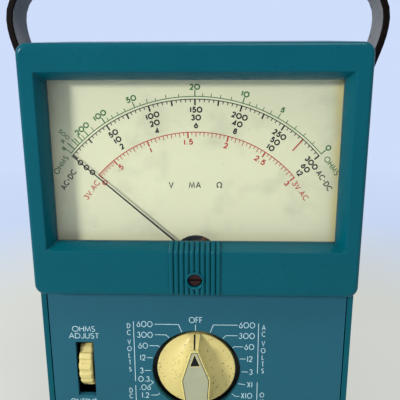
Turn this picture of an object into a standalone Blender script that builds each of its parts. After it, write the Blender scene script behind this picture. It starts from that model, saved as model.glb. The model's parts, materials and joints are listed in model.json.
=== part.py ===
"""Analog multimeter with a moving-coil meter, a range switch and a swinging carry strap.

Metres, +Z up, front towards -Y. The origin is on the floor under the middle of the object.
A depth is measured backwards from the front face of the meter hood.
"""

import bmesh
import bpy
from math import acos, asin, atan2, cos, hypot, pi, radians, sin, sqrt
from mathutils import Matrix, Vector

# Clearances
SEAT_GAP = 0.0003
OVERRUN = 0.0010
WELD_DISTANCE = 0.000002

# Case
CASE_WIDTH = 0.1400
CASE_DEPTH = 0.0800
CASE_WALL = 0.0025
CASE_CORNER = 0.0045
CASE_BACK_ROUND = 0.0038
CASE_LIFT = 0.0020
KNOB_RISE = 0.0465
KNOB_BELOW_HOOD = 0.0411

# Front panel
PANEL_DEPTH = 0.0082
PANEL_THICKNESS = 0.0028
PANEL_EDGE_GAP = 0.0005
DIAL_OPENING_LAP = 0.0024

# Meter hood
HOOD_HEIGHT = 0.1064
HOOD_ROUND = 0.0020
HOOD_SIDE_BORDER = 0.0067
HOOD_LOW_BORDER = 0.0207
HOOD_TOP_BORDER = 0.0112
WINDOW_SIDE_BEVEL = 0.0032
WINDOW_LOW_BEVEL = 0.0023
WINDOW_TOP_BEVEL = 0.0028
HOOD_SKIN = 0.0024
HOOD_RIB = 0.0100
LENS_THICKNESS = 0.0021
LENS_LAP = 0.0034

# Reeded strip and zero-adjuster boss on the hood
REED_COUNT = 10
REED_PITCH = 0.00225
REED_HEIGHT = 0.0008
REED_TROUGH = 0.0001
BOSS_DROP = 0.0060
BOSS_RADIUS = 0.0040
BOSS_PROUD = 0.0010
BOSS_ROUND = 0.0003
ZERO_HEAD_RADIUS = 0.0029
ZERO_HEAD_SINK = 0.0006
ZERO_SLOT_WIDTH = 0.0009
ZERO_COLLAR_WIDTH = 0.0012
ZERO_COLLAR_THICKNESS = 0.0013
ZERO_PIN_RADIUS = 0.0006
ZERO_PIN_OFFSET = 0.0010

# Dial plate
PIVOT_BELOW_WINDOW = 0.0070
DIAL_BEHIND_PANEL = 0.0018
DIAL_THICKNESS = 0.0008
DIAL_SIDE_GAP = 0.0050
DIAL_BELOW_PIVOT = 0.0080
DIAL_NOTCH_RADIUS = 0.0102
DIAL_SCREW_X = 0.0280
DIAL_SCREW_DROP = 0.0020
DIAL_SCREW_RADIUS = 0.0012
DIAL_SCREW_HEAD = 0.0026
DIAL_SCREW_HEAD_HEIGHT = 0.0009
DIAL_SCREW_LENGTH = 0.0055
DIAL_POST_RADIUS = 0.0024

# Chassis plate behind the meter
CHASSIS_DEPTH = 0.0339
CHASSIS_THICKNESS = 0.0016
CHASSIS_SIDE_GAP = 0.0105
CHASSIS_EDGE = 0.0005
CHASSIS_BELOW_PIVOT = 0.0243
PILLAR_RADIUS = 0.0030
PILLAR_INSET = 0.0050

# Moving-coil movement
NEEDLE_SIDE_GAP = 0.0096
NEEDLE_TOP_MARGIN = 0.0087
NEEDLE_LENS_GAP = 0.0029
NEEDLE_THICKNESS = 0.0004
NEEDLE_TIP_WIDTH = 0.00035
NEEDLE_NECK_WIDTH = 0.0008
NEEDLE_ROOT_WIDTH = 0.0014
NEEDLE_ROOT_RADIUS = 0.0052
NEEDLE_BEND_RADIUS = 0.0092
POINTER_PLATE_DEPTH = 0.0163
POINTER_PLATE_THICKNESS = 0.0007
POINTER_HUB_RADIUS = 0.0026
POINTER_ARM_WIDTH = 0.0008
POINTER_ARM_REACH = 0.0092
WEIGHT_RADIUS = 0.00125
WEIGHT_LENGTH = 0.0026
CORE_RADIUS = 0.0082
CORE_FRONT = 0.0201
MOVEMENT_AIR_GAP = 0.0027
FIELD_RING_WIDTH = 0.0051
COIL_BAR = 0.0013
COIL_WIDTH = 0.0034
COIL_CORE_GAP = 0.0005
SPACER_WIDTH = 0.0030
COIL_PIVOT_RADIUS = 0.0007
COIL_PIVOT_LENGTH = 0.0010
BRIDGE_THICKNESS = 0.0011
BRIDGE_WIDTH = 0.0050
BRIDGE_PILLAR_RADIUS = 0.0015
JEWEL_RADIUS = 0.0014
JEWEL_LENGTH = 0.0032
REAR_BRIDGE_STANDOFF = 0.0017
SPRING_INNER_RADIUS = 0.0016
SPRING_OUTER_RADIUS = 0.0039
SPRING_TURNS = 3
SPRING_STRIP = 0.0002
SPRING_WIDTH = 0.0006
LEVER_DEPTH = 0.0120
LEVER_THICKNESS = 0.0008
LEVER_RING_WIDTH = 0.0012
LEVER_ARM_WIDTH = 0.0034
LEVER_REACH = 0.0089
LEVER_TAB_WIDTH = 0.0012
LEVER_TAB_THICKNESS = 0.0006

# Range switch
KNOB_HOLE_RADIUS = 0.02055
KNOB_EDGE_GAP = 0.0023
KNOB_FACE_SINK = 0.0017
KNOB_DISC_THICKNESS = 0.0030
KNOB_RIM_ROUND = 0.0005
KNOB_BAR_HEIGHT = 0.0090
KNOB_TIP_REACH = 0.0135
KNOB_TIP_WIDTH = 0.0028
KNOB_SHOULDER_WIDTH = 0.0118
KNOB_SHOULDER_DROP = 0.0007
KNOB_WAIST_WIDTH = 0.0099
KNOB_WAIST_DROP = 0.0107
KNOB_TAIL_WIDTH = 0.0080
KNOB_TAIL_DROP = 0.0154
KNOB_RIDGE_TOP_WIDTH = 0.0030
KNOB_RIDGE_RIM_WIDTH = 0.0053
KNOB_HUB_RADIUS = 0.0070
KNOB_HUB_DROP = 0.0011
KNOB_CAP_INSET = 0.0009
KNOB_CAP_THICKNESS = 0.0006
KNOB_SET_ANGLE = 2.0
SHAFT_RADIUS = 0.0029
SHAFT_SOCKET = 0.0084
SHAFT_TAIL = 0.0054
WELL_RIM_LAP = 0.0008
WELL_WALL = 0.0026
WELL_DEPTH = 0.0055
WELL_FLOOR = 0.0016
BUSHING_WALL = 0.0009
BUSHING_LENGTH = 0.0051
BUSHING_NUT_RADIUS = 0.0062
BUSHING_NUT_THICKNESS = 0.0020
INDEX_LOBES = 19
INDEX_DEPTH = 0.0204
INDEX_RADIUS = 0.0110
INDEX_LOBE_HEIGHT = 0.0008
INDEX_THICKNESS = 0.0016
ROLLER_RADIUS = 0.0016
LEAF_THICKNESS = 0.0004
LEAF_LENGTH = 0.0300
LEAF_POST_RADIUS = 0.0012
WAFER_DEPTH = 0.0250
WAFER_PITCH = 0.0070
WAFER_THICKNESS = 0.0016
WAFER_RADIUS = 0.0205
ROTOR_RADIUS = 0.0083
CLIP_COUNT = 18
CLIP_WIDTH = 0.0015
CLIP_THICKNESS = 0.0005
CLIP_LENGTH = 0.0065
CLIP_OVERHANG = 0.0020
TIE_X = 0.0170
TIE_RADIUS = 0.0013
TIE_HEAD_RADIUS = 0.0025
TIE_HEAD_HEIGHT = 0.0016
TIE_SPACER_WALL = 0.0010

# Ohms-adjust thumbwheel and its potentiometer
WHEEL_SIDE_INSET = 0.0184
WHEEL_WIDTH = 0.0064
WHEEL_RADIUS = 0.0131
WHEEL_PROUD = 0.0015
WHEEL_GROOVES = 16
WHEEL_GROOVE_DEPTH = 0.0009
WHEEL_CHAMFER = 0.0008
SLOT_SIDE_GAP = 0.0010
SLOT_END_GAP = 0.0010
POT_SHAFT_RADIUS = 0.0025
POT_BRACKET_THICKNESS = 0.0012
POT_BRACKET_HEIGHT = 0.0300
POT_BRACKET_REACH = 0.0105
POT_FOOT_LENGTH = 0.0077
POT_FOOT_HEIGHT = 0.0060
POT_BODY_RADIUS = 0.0080
POT_BODY_LENGTH = 0.0094
POT_BUSHING_WALL = 0.0008
POT_BUSHING_LENGTH = 0.0024

# Circuit board and what it carries
BOARD_SHAFT_GAP = 0.0050
BOARD_THICKNESS = 0.0016
BOARD_SIDE_GAP = 0.0105
BOARD_LOW_GAP = 0.0025
BOARD_HEIGHT = 0.0700
STANDOFF_RADIUS = 0.0030
STANDOFF_LOW_INSET = 0.0130
STANDOFF_HIGH_INSET = 0.0270
STANDOFF_END_INSET = 0.0060
TERMINAL_RADIUS = 0.0009
TERMINAL_HEIGHT = 0.0036
RESISTOR_ROWS = 4
RESISTOR_ROW_PITCH = 0.0098
RESISTOR_COLUMN_PITCH = 0.0230
RESISTOR_SPAN = 0.0165
RESISTOR_RADIUS = 0.0018
RESISTOR_LENGTH = 0.0080
RESISTOR_LEAD_RADIUS = 0.0004
CAPACITOR_WIDTH = 0.0180
CAPACITOR_HEIGHT = 0.0085
CAPACITOR_DEPTH = 0.0110
FUSE_RADIUS = 0.0032
FUSE_LENGTH = 0.0320
FUSE_CAP_LENGTH = 0.0060
FUSE_LIFT = 0.0012
FUSE_CLIP_WIDTH = 0.0040
FUSE_CLIP_THICKNESS = 0.0005

# Batteries
ROUND_CELL_DEPTH_SHARE = 0.803
ROUND_CELL_LENGTH = 0.0590
ROUND_CELL_NUB = 0.0020
FLAT_BATTERY_WIDTH = 0.0485
FLAT_BATTERY_HEIGHT = 0.0265
FLAT_BATTERY_DEPTH = 0.0175
FLAT_BATTERY_RISE = 0.0138
BATTERY_SPACING = 0.0030
CONTACT_THICKNESS = 0.0006
CONTACT_WIDTH = 0.0120

# Test jacks
OUTER_JACK_RISE = 0.0215
INNER_JACK_RISE = 0.0100
JACK_SPACING = 0.0216
JACK_FLANGE_RADIUS = 0.0056
JACK_FLANGE_THICKNESS = 0.0012
JACK_BODY_RADIUS = 0.0042
JACK_LENGTH = 0.0133
JACK_BORE_RADIUS = 0.0031
JACK_SLEEVE_WALL = 0.0005
JACK_SLEEVE_OVERHANG = 0.0020
JACK_TAIL_RADIUS = 0.0010
JACK_TAIL_LENGTH = 0.0050
JACK_NUT_RADIUS = 0.0066
JACK_NUT_THICKNESS = 0.0025

# Case posts, case screws and feet
POST_RADIUS = 0.0030
POST_SIDE_INSET = 0.0065
POST_END_INSET = 0.0050
CASE_SCREW_RADIUS = 0.0016
CASE_SCREW_HEAD = 0.0036
CASE_SCREW_HEAD_HEIGHT = 0.0014
CASE_SCREW_GRIP = 0.0100
SCREW_SLOT_WIDTH = 0.0009
SCREW_SLOT_DEPTH = 0.0007
FOOT_RADIUS = 0.0060
FOOT_TAPER = 0.0006
FOOT_STEM_RADIUS = 0.0020
FOOT_STEM_GRIP = 0.0005
FOOT_SIDE_INSET = 0.0150
FOOT_FRONT_DEPTH = 0.0220
FOOT_BACK_INSET = 0.0140

# Carry strap
STRAP_THICKNESS = 0.0030
STRAP_WIDTH = 0.0195
STRAP_DEPTH = 0.0385
STRAP_PIVOT_RISE = 0.0500
STRAP_SIDE_GAP = 0.0018
STRAP_TAB_DROP = 0.0090
STRAP_STRAIGHT = 0.0200
STRAP_BULGE = 0.0074
STRAP_TOP_RADIUS = 0.0144
STRAP_ARCH = 0.0257
STRAP_CROWN = 0.0020
STRAP_END_RADIUS = 0.0080
STUD_RADIUS = 0.0030
STUD_HEAD_RADIUS = 0.0060
STUD_HEAD_THICKNESS = 0.0018
STUD_INNER_RADIUS = 0.0048
STUD_INNER_THICKNESS = 0.0012

# Shares of the sizes that they follow
REED_SHARES = ((0.0, 0.0), (0.14, 0.7), (0.34, 1.0), (0.66, 1.0), (0.86, 0.7))
KNOB_FLARE_SHARES = ((0.0, 0.0), (0.30, 0.05), (0.55, 0.16), (0.76, 0.36), (0.90, 0.64), (1.0, 1.0))
GROOVE_SHARES = ((0.0, 1.0), (0.28, 1.0), (0.42, 0.0), (0.86, 0.0))
STRAP_HANDLE_SHARES = (0.35, 0.35)

# Facets of round pieces
STRAP_CURVE_STEPS = 10
STRAP_ARC_STEPS = 6
STRAP_CROWN_STEPS = 5
CORNER_STEPS = 3
ROUND_STEPS = 3
FINE_SIDES = 40
ROUND_SIDES = 28
MEDIUM_SIDES = 16
SMALL_SIDES = 10
HEX_SIDES = 6
LOBE_STEPS = 4

# Angles in degrees: edges sharper than the first are rounded, others up to the second are smooth
ROUNDED_ANGLE = 50
SMOOTH_ANGLE = 35

# Colours: red, green and blue, roughness, metallic
TEAL_PLASTIC = (0.010, 0.110, 0.135), 0.42, 0.0
TEAL_PANEL = (0.018, 0.120, 0.155), 0.62, 0.0
DARK_TEAL = (0.006, 0.060, 0.078), 0.50, 0.0
CLEAR_PLASTIC = (0.850, 0.880, 0.880), 0.05, 0.0
CREAM_PAINT = (0.760, 0.720, 0.500), 0.65, 0.0
NEEDLE_BLACK = (0.010, 0.010, 0.012), 0.50, 0.0
DARK_RED = (0.060, 0.008, 0.008), 0.35, 0.0
YELLOW_CREAM = (0.780, 0.650, 0.180), 0.40, 0.0
GREY_CREAM = (0.480, 0.460, 0.330), 0.45, 0.0
STRAP_GREY = (0.180, 0.170, 0.160), 0.70, 0.0
RUBBER_BLACK = (0.015, 0.015, 0.015), 0.85, 0.0
BLACK_PLASTIC = (0.020, 0.020, 0.022), 0.45, 0.0
BOARD_BROWN = (0.250, 0.120, 0.040), 0.60, 0.0
CAPACITOR_RED = (0.400, 0.060, 0.030), 0.35, 0.0
BATTERY_BLUE = (0.030, 0.070, 0.300), 0.40, 0.0
BATTERY_BLACK = (0.030, 0.030, 0.035), 0.40, 0.0
FUSE_GLASS = (0.700, 0.760, 0.740), 0.10, 0.0
COPPER_WIRE = (0.550, 0.200, 0.060), 0.35, 1.0
STEEL = (0.550, 0.550, 0.560), 0.35, 1.0
ZINC = (0.420, 0.430, 0.450), 0.45, 1.0
DARK_IRON = (0.080, 0.080, 0.085), 0.55, 1.0
BRASS = (0.700, 0.480, 0.160), 0.30, 1.0
ALUMINIUM = (0.720, 0.730, 0.740), 0.40, 1.0

# Places worked out from the sizes
MID_DEPTH = (CASE_DEPTH - BOSS_PROUD) / 2
HALF_WIDTH = CASE_WIDTH / 2
CAVITY_X = HALF_WIDTH - CASE_WALL
KNOB_Z = CASE_LIFT + KNOB_RISE
HOOD_LOW = KNOB_Z + KNOB_BELOW_HOOD
HOOD_TOP = HOOD_LOW + HOOD_HEIGHT
PANEL_BACK = PANEL_DEPTH + PANEL_THICKNESS
CASE_FLOOR = CASE_LIFT + CASE_WALL
CASE_CEILING = HOOD_TOP - CASE_WALL
CAVITY_DEPTH = CASE_DEPTH - CASE_WALL
HOOD_BACK = PANEL_DEPTH - SEAT_GAP
LENS_FRONT = HOOD_BACK - LENS_THICKNESS
LENS_SEAT = LENS_FRONT - SEAT_GAP
WINDOW_X = HALF_WIDTH - HOOD_SIDE_BORDER
WINDOW_LOW = HOOD_LOW + HOOD_LOW_BORDER
WINDOW_TOP = HOOD_TOP - HOOD_TOP_BORDER
LENS_OPEN_X = WINDOW_X - WINDOW_SIDE_BEVEL
LENS_OPEN_LOW = WINDOW_LOW + WINDOW_LOW_BEVEL
LENS_OPEN_TOP = WINDOW_TOP - WINDOW_TOP_BEVEL
PIVOT_Z = WINDOW_LOW - PIVOT_BELOW_WINDOW
BOSS_Z = PIVOT_Z - BOSS_DROP
DIAL_FRONT = PANEL_BACK + DIAL_BEHIND_PANEL
DIAL_BACK = DIAL_FRONT + DIAL_THICKNESS
BRIDGE_DEPTH = DIAL_BACK + SEAT_GAP
DIAL_X = CAVITY_X - DIAL_SIDE_GAP
DIAL_LOW = PIVOT_Z - DIAL_BELOW_PIVOT
OPENING_X = DIAL_X - SEAT_GAP
OPENING_LOW = BOSS_Z - BOSS_RADIUS - ZERO_COLLAR_WIDTH
OPENING_TOP = LENS_OPEN_TOP + DIAL_OPENING_LAP
CHASSIS_X = CAVITY_X - CHASSIS_SIDE_GAP
CHASSIS_LOW = PIVOT_Z - CHASSIS_BELOW_PIVOT
DIAL_TOP = OPENING_TOP + 2 * SEAT_GAP
PILLAR_TOP_Z = DIAL_TOP + PILLAR_RADIUS + 2 * SEAT_GAP
CHASSIS_HIGH = PILLAR_TOP_Z + PILLAR_RADIUS + CHASSIS_EDGE
CHASSIS_BACK = CHASSIS_DEPTH + CHASSIS_THICKNESS
CLIP_RING = WAFER_RADIUS - CLIP_LENGTH / 2 + CLIP_OVERHANG
WHEEL_X = WHEEL_SIDE_INSET - HALF_WIDTH
WHEEL_DEPTH = PANEL_DEPTH - WHEEL_PROUD + WHEEL_RADIUS
INNER_JACK_X = -WHEEL_X - JACK_SPACING
FOOT_X = HALF_WIDTH - FOOT_SIDE_INSET
JACK_SPOTS = (
    ("jack_output", WHEEL_X, CASE_LIFT + OUTER_JACK_RISE),
    ("jack_common", -INNER_JACK_X, CASE_LIFT + INNER_JACK_RISE),
    ("jack_positive", INNER_JACK_X, CASE_LIFT + INNER_JACK_RISE),
    ("jack_amps", -WHEEL_X, CASE_LIFT + OUTER_JACK_RISE),
)
STRAP_PIVOT_Z = PIVOT_Z + STRAP_PIVOT_RISE
NEEDLE_REACH = LENS_OPEN_TOP - PIVOT_Z - NEEDLE_TOP_MARGIN
REST_TURN = -asin((OPENING_X - NEEDLE_SIDE_GAP) / NEEDLE_REACH)
BATTERY_FRONT = CHASSIS_BACK + CONTACT_THICKNESS + SEAT_GAP
ROUND_CELL_RADIUS = (CAVITY_DEPTH - BATTERY_FRONT) * ROUND_CELL_DEPTH_SHARE / 2
FLAT_BATTERY_TOP = PIVOT_Z + FLAT_BATTERY_RISE + FLAT_BATTERY_HEIGHT

parts = None
cutters = None


def y_at(depth):
    """World Y of a depth behind the hood's front face."""
    return depth - MID_DEPTH


def clear_scene():
    """Empty the scene and make the two collections."""
    global parts, cutters
    for old in list(bpy.data.objects):
        bpy.data.objects.remove(old, do_unlink=True)
    parts = bpy.data.collections.new("analog_multimeter")
    cutters = bpy.data.collections.new("cutters")
    bpy.context.scene.collection.children.link(parts)
    bpy.context.scene.collection.children.link(cutters)


def add_object(name, data):
    """A new object in the parts collection."""
    part = bpy.data.objects.new(name, data)
    parts.objects.link(part)
    return part


def baked(part):
    """The mesh that an object shows, in world space, with the object removed."""
    bpy.context.view_layer.update()
    shown = part.evaluated_get(bpy.context.evaluated_depsgraph_get())
    mesh = bpy.data.meshes.new_from_object(shown)
    mesh.transform(shown.matrix_world)
    bpy.data.objects.remove(part, do_unlink=True)
    form = bmesh.new()
    form.from_mesh(mesh)
    bmesh.ops.remove_doubles(form, verts=form.verts, dist=WELD_DISTANCE)
    bmesh.ops.recalc_face_normals(form, faces=form.faces)
    form.to_mesh(mesh)
    form.free()
    return mesh


def grouped(name, pieces):
    """Several closed solids as one object."""
    form = bmesh.new()
    for piece in pieces:
        mesh = baked(piece)
        form.from_mesh(mesh)
        bpy.data.meshes.remove(mesh)
    mesh = bpy.data.meshes.new(name)
    form.to_mesh(mesh)
    form.free()
    return add_object(name, mesh)


def set_origin(part, x, depth, z):
    """Put a baked object's origin on a point, with the mesh left where it is."""
    place = Vector((x, y_at(depth), z))
    part.data.transform(Matrix.Translation(-place))
    part.location = place


def boolean(part, tool, operation):
    """Cut or join with a tool object, which moves to the cutters collection."""
    modifier = part.modifiers.new(f"{operation.lower()}_{tool.name}", "BOOLEAN")
    modifier.operation = operation
    modifier.solver = "EXACT"
    modifier.object = tool
    parts.objects.unlink(tool)
    cutters.objects.link(tool)
    tool.hide_render = True
    tool.display_type = "WIRE"


def cut(part, *tools):
    """Take tools out of a part."""
    for tool in tools:
        boolean(part, tool, "DIFFERENCE")


def join(part, *tools):
    """Fuse tools with a part."""
    for tool in tools:
        boolean(part, tool, "UNION")


def circle(x, z, radius, sides, turn=0.0):
    """Points of a circle."""
    steps = [turn + 2 * pi * step / sides for step in range(sides)]
    return [(x + radius * cos(step), z + radius * sin(step)) for step in steps]


def rectangle(low_x, high_x, low_z, high_z, corner=0.0):
    """Points of a rectangle, with round corners if a corner radius is given."""
    if not corner:
        return [(low_x, low_z), (high_x, low_z), (high_x, high_z), (low_x, high_z)]
    centres = (
        (high_x - corner, low_z + corner, -pi / 2),
        (high_x - corner, high_z - corner, 0.0),
        (low_x + corner, high_z - corner, pi / 2),
        (low_x + corner, low_z + corner, pi),
    )
    points = []
    for x, z, start in centres:
        for step in range(CORNER_STEPS + 1):
            turn = start + pi / 2 * step / CORNER_STEPS
            points.append((x + corner * cos(turn), z + corner * sin(turn)))
    return points


def plate(name, outlines, start, end, along="Y"):
    """A flat piece of one thickness: the first outline is its edge, the others are holes.

    Along Y the outline is in X and Z and start and end are depths; along X it is in depth and Z.
    """
    curve = bpy.data.curves.new(name, "CURVE")
    curve.dimensions = "2D"
    curve.fill_mode = "BOTH"
    curve.extrude = (end - start) / 2
    for outline in outlines:
        spline = curve.splines.new("POLY")
        spline.points.add(len(outline) - 1)
        for point, (across, up) in zip(spline.points, outline):
            point.co = (across, up, 0.0, 1.0)
        spline.use_cyclic_u = True
    part = add_object(name, curve)
    if along == "Y":
        middle = Matrix.Translation((0.0, y_at((start + end) / 2), 0.0))
        part.matrix_world = middle @ Matrix.Rotation(pi / 2, 4, "X")
    else:
        turn = Matrix(((0.0, 0.0, 1.0), (1.0, 0.0, 0.0), (0.0, 1.0, 0.0))).to_4x4()
        part.matrix_world = Matrix.Translation(((start + end) / 2, y_at(0.0), 0.0)) @ turn
    mesh = baked(part)
    return add_object(name, mesh)


def block(name, x_range, depth_range, z_range):
    """A box between two X, two depths and two heights."""
    form = bmesh.new()
    bmesh.ops.create_cube(form, size=1.0)
    size = Vector((x_range[1] - x_range[0], depth_range[1] - depth_range[0], z_range[1] - z_range[0]))
    middle = Vector((sum(x_range) / 2, y_at(sum(depth_range) / 2), sum(z_range) / 2))
    place = Matrix.Translation(middle) @ Matrix.Diagonal(size).to_4x4()
    bmesh.ops.transform(form, matrix=place, verts=form.verts)
    mesh = bpy.data.meshes.new(name)
    form.to_mesh(mesh)
    form.free()
    return add_object(name, mesh)


def turned(name, profile, x, z, sides, closed=False, axis="Y", depth=0.0):
    """A turned piece on an axis through x and z: the profile holds (radius, place along the axis).

    Along Y a place is a depth, along X an X and along Z a height. A closed profile makes a ring.
    """
    mesh = bpy.data.meshes.new(name)
    points = [(radius, 0.0, place) for radius, place in profile]
    if axis == "Y":
        points = [(radius, 0.0, -place) for radius, place in profile]
    count = len(points)
    edges = [(step, step + 1) for step in range(count - 1)]
    if closed:
        edges.append((count - 1, 0))
    mesh.from_pydata(points, edges, [])
    part = add_object(name, mesh)
    screw = part.modifiers.new("turn", "SCREW")
    screw.axis = "Z"
    screw.steps = sides
    screw.render_steps = sides
    screw.use_merge_vertices = True
    screw.merge_threshold = WELD_DISTANCE
    screw.use_smooth_shade = False
    if axis == "Y":
        part.matrix_world = Matrix.Translation((x, y_at(0.0), z)) @ Matrix.Rotation(pi / 2, 4, "X")
    elif axis == "X":
        part.matrix_world = Matrix.Translation((0.0, y_at(depth), z)) @ Matrix.Rotation(pi / 2, 4, "Y")
    else:
        part.matrix_world = Matrix.Translation((x, y_at(depth), 0.0))
    mesh = baked(part)
    return add_object(name, mesh)


def pin(name, x, z, radius, start, end, sides=SMALL_SIDES, axis="Y", depth=0.0):
    """A plain round pin between two places along its axis."""
    low, high = (end, start) if axis == "Y" else (start, end)
    profile = [(0.0, high), (radius, high), (radius, low), (0.0, low)]
    return turned(name, profile, x, z, sides, axis=axis, depth=depth)


def tube(name, x, z, inner, outer, start, end, sides=SMALL_SIDES, axis="Y", depth=0.0):
    """A plain tube between two places along its axis."""
    low, high = (end, start) if axis == "Y" else (start, end)
    profile = [(outer, high), (outer, low), (inner, low), (inner, high)]
    return turned(name, profile, x, z, sides, closed=True, axis=axis, depth=depth)


def loft(name, sections):
    """A closed solid through sections of equal count, each a list of (x, depth, z)."""
    form = bmesh.new()
    rings = []
    for section in sections:
        rings.append([form.verts.new((x, y_at(depth), z)) for x, depth, z in section])
    count = len(rings[0])
    for near, far in zip(rings, rings[1:]):
        for step in range(count):
            follow = (step + 1) % count
            form.faces.new((near[step], near[follow], far[follow], far[step]))
    form.faces.new(list(reversed(rings[0])))
    form.faces.new(rings[-1])
    bmesh.ops.recalc_face_normals(form, faces=form.faces)
    mesh = bpy.data.meshes.new(name)
    form.to_mesh(mesh)
    form.free()
    return add_object(name, mesh)


def round_edges(part, width, is_chosen, segments=ROUND_STEPS):
    """Round the edges whose two ends both pass a test of (x, depth, z)."""
    form = bmesh.new()
    form.from_mesh(part.data)
    weight = form.edges.layers.float.new("bevel_weight_edge")
    for edge in form.edges:
        ends = [(vert.co.x, vert.co.y + MID_DEPTH, vert.co.z) for vert in edge.verts]
        meets = len(edge.link_faces) == 2 and edge.calc_face_angle() > radians(ROUNDED_ANGLE)
        if meets and all(is_chosen(*end) for end in ends):
            edge[weight] = 1.0
    form.to_mesh(part.data)
    form.free()
    bevel = part.modifiers.new("round", "BEVEL")
    bevel.limit_method = "WEIGHT"
    bevel.width = width
    bevel.segments = segments


def finish(part, look):
    """Material and shading of a finished part."""
    color, roughness, metallic = look
    material = bpy.data.materials.new(part.name)
    material.use_nodes = True
    shader = material.node_tree.nodes["Principled BSDF"]
    shader.inputs["Base Color"].default_value = (*color, 1.0)
    shader.inputs["Roughness"].default_value = roughness
    shader.inputs["Metallic"].default_value = metallic
    part.data.materials.clear()
    part.data.materials.append(material)
    part.data.shade_smooth()
    part.data.set_sharp_from_angle(angle=radians(SMOOTH_ANGLE))
    return part


def rear_case():
    """Tub that closes the back, with its rim round the front panel."""
    outline = rectangle(-HALF_WIDTH, HALF_WIDTH, CASE_LIFT, HOOD_TOP, CASE_CORNER)
    case = plate("rear_case", [outline], PANEL_DEPTH, CASE_DEPTH)
    round_edges(case, CASE_BACK_ROUND, lambda x, depth, z: depth > CAVITY_DEPTH)
    inner = rectangle(-CAVITY_X, CAVITY_X, CASE_FLOOR, CASE_CEILING, CASE_CORNER - CASE_WALL)
    cut(case, plate("case_cavity", [inner], PANEL_DEPTH - OVERRUN, CAVITY_DEPTH))
    stud_hole = STUD_RADIUS + SEAT_GAP
    cut(case, pin("stud_holes", 0.0, STRAP_PIVOT_Z, stud_hole, -HALF_WIDTH - OVERRUN,
                  HALF_WIDTH + OVERRUN, MEDIUM_SIDES, "X", STRAP_DEPTH))
    holes = []
    for x, z in post_spots():
        sink = CASE_DEPTH - CASE_SCREW_HEAD_HEIGHT - 2 * SEAT_GAP
        head = CASE_SCREW_HEAD + SEAT_GAP
        shank = CASE_SCREW_RADIUS + SEAT_GAP
        profile = [(0.0, CASE_DEPTH + OVERRUN), (head, CASE_DEPTH + OVERRUN), (head, sink),
                   (shank, sink), (shank, CAVITY_DEPTH - OVERRUN), (0.0, CAVITY_DEPTH - OVERRUN)]
        holes.append(turned("screw_hole", profile, x, z, MEDIUM_SIDES))
    for x, depth in foot_spots():
        holes.append(pin("foot_hole", x, 0.0, FOOT_STEM_RADIUS + SEAT_GAP, CASE_LIFT - OVERRUN,
                         CASE_FLOOR + OVERRUN, SMALL_SIDES, "Z", depth))
    cut(case, grouped("case_holes", holes))
    return finish(case, TEAL_PLASTIC)


def post_spots():
    """X and Z of the four case posts."""
    x = CAVITY_X - POST_SIDE_INSET
    spots = []
    for z in (CASE_FLOOR + POST_END_INSET, DIAL_TOP + POST_RADIUS + 2 * SEAT_GAP):
        spots += [(-x, z), (x, z)]
    return spots


def foot_spots():
    """X and depth of the four feet."""
    spots = []
    for depth in (FOOT_FRONT_DEPTH, CASE_DEPTH - FOOT_BACK_INSET):
        spots += [(-FOOT_X, depth), (FOOT_X, depth)]
    return spots


def front_panel():
    """Flat panel inside the case rim, with openings for dial, knob, thumbwheel and jacks."""
    x = CAVITY_X - PANEL_EDGE_GAP
    corner = CASE_CORNER - CASE_WALL
    slot_x = WHEEL_WIDTH / 2 + SLOT_SIDE_GAP
    slot_z = WHEEL_RADIUS + SLOT_END_GAP
    outlines = [
        rectangle(-x, x, CASE_FLOOR + PANEL_EDGE_GAP, CASE_CEILING - PANEL_EDGE_GAP, corner),
        rectangle(-OPENING_X, OPENING_X, OPENING_LOW, OPENING_TOP),
        circle(0.0, KNOB_Z, KNOB_HOLE_RADIUS, FINE_SIDES),
        rectangle(WHEEL_X - slot_x, WHEEL_X + slot_x, KNOB_Z - slot_z, KNOB_Z + slot_z),
    ]
    for name, jack_x, jack_z in JACK_SPOTS:
        outlines.append(circle(jack_x, jack_z, JACK_BODY_RADIUS + SEAT_GAP, MEDIUM_SIDES))
    panel = plate("front_panel", outlines, PANEL_DEPTH, PANEL_BACK)
    join(panel, grouped("panel_posts", case_posts()))
    return finish(panel, TEAL_PANEL)


def case_posts():
    """Bored posts on the back of the front panel, one at each corner."""
    posts = []
    start = PANEL_BACK - PANEL_THICKNESS / 2
    end = CAVITY_DEPTH - SEAT_GAP
    bore = CASE_SCREW_RADIUS + SEAT_GAP
    floor = end - CASE_SCREW_GRIP - SEAT_GAP
    for x, z in post_spots():
        profile = [(0.0, start), (POST_RADIUS, start), (POST_RADIUS, end), (bore, end), (bore, floor),
                   (0.0, floor)]
        posts.append(turned("case_post", profile, x, z, SMALL_SIDES))
    return posts


def frame_section(depth, grow=0.0):
    """The window's edge at a depth on its bevel, as a section for a loft."""
    share = depth / LENS_SEAT
    x = WINDOW_X - WINDOW_SIDE_BEVEL * share + grow
    low = WINDOW_LOW + WINDOW_LOW_BEVEL * share - grow
    top = WINDOW_TOP - WINDOW_TOP_BEVEL * share + grow
    return [(-x, depth, low), (x, depth, low), (x, depth, top), (-x, depth, top)]


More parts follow.
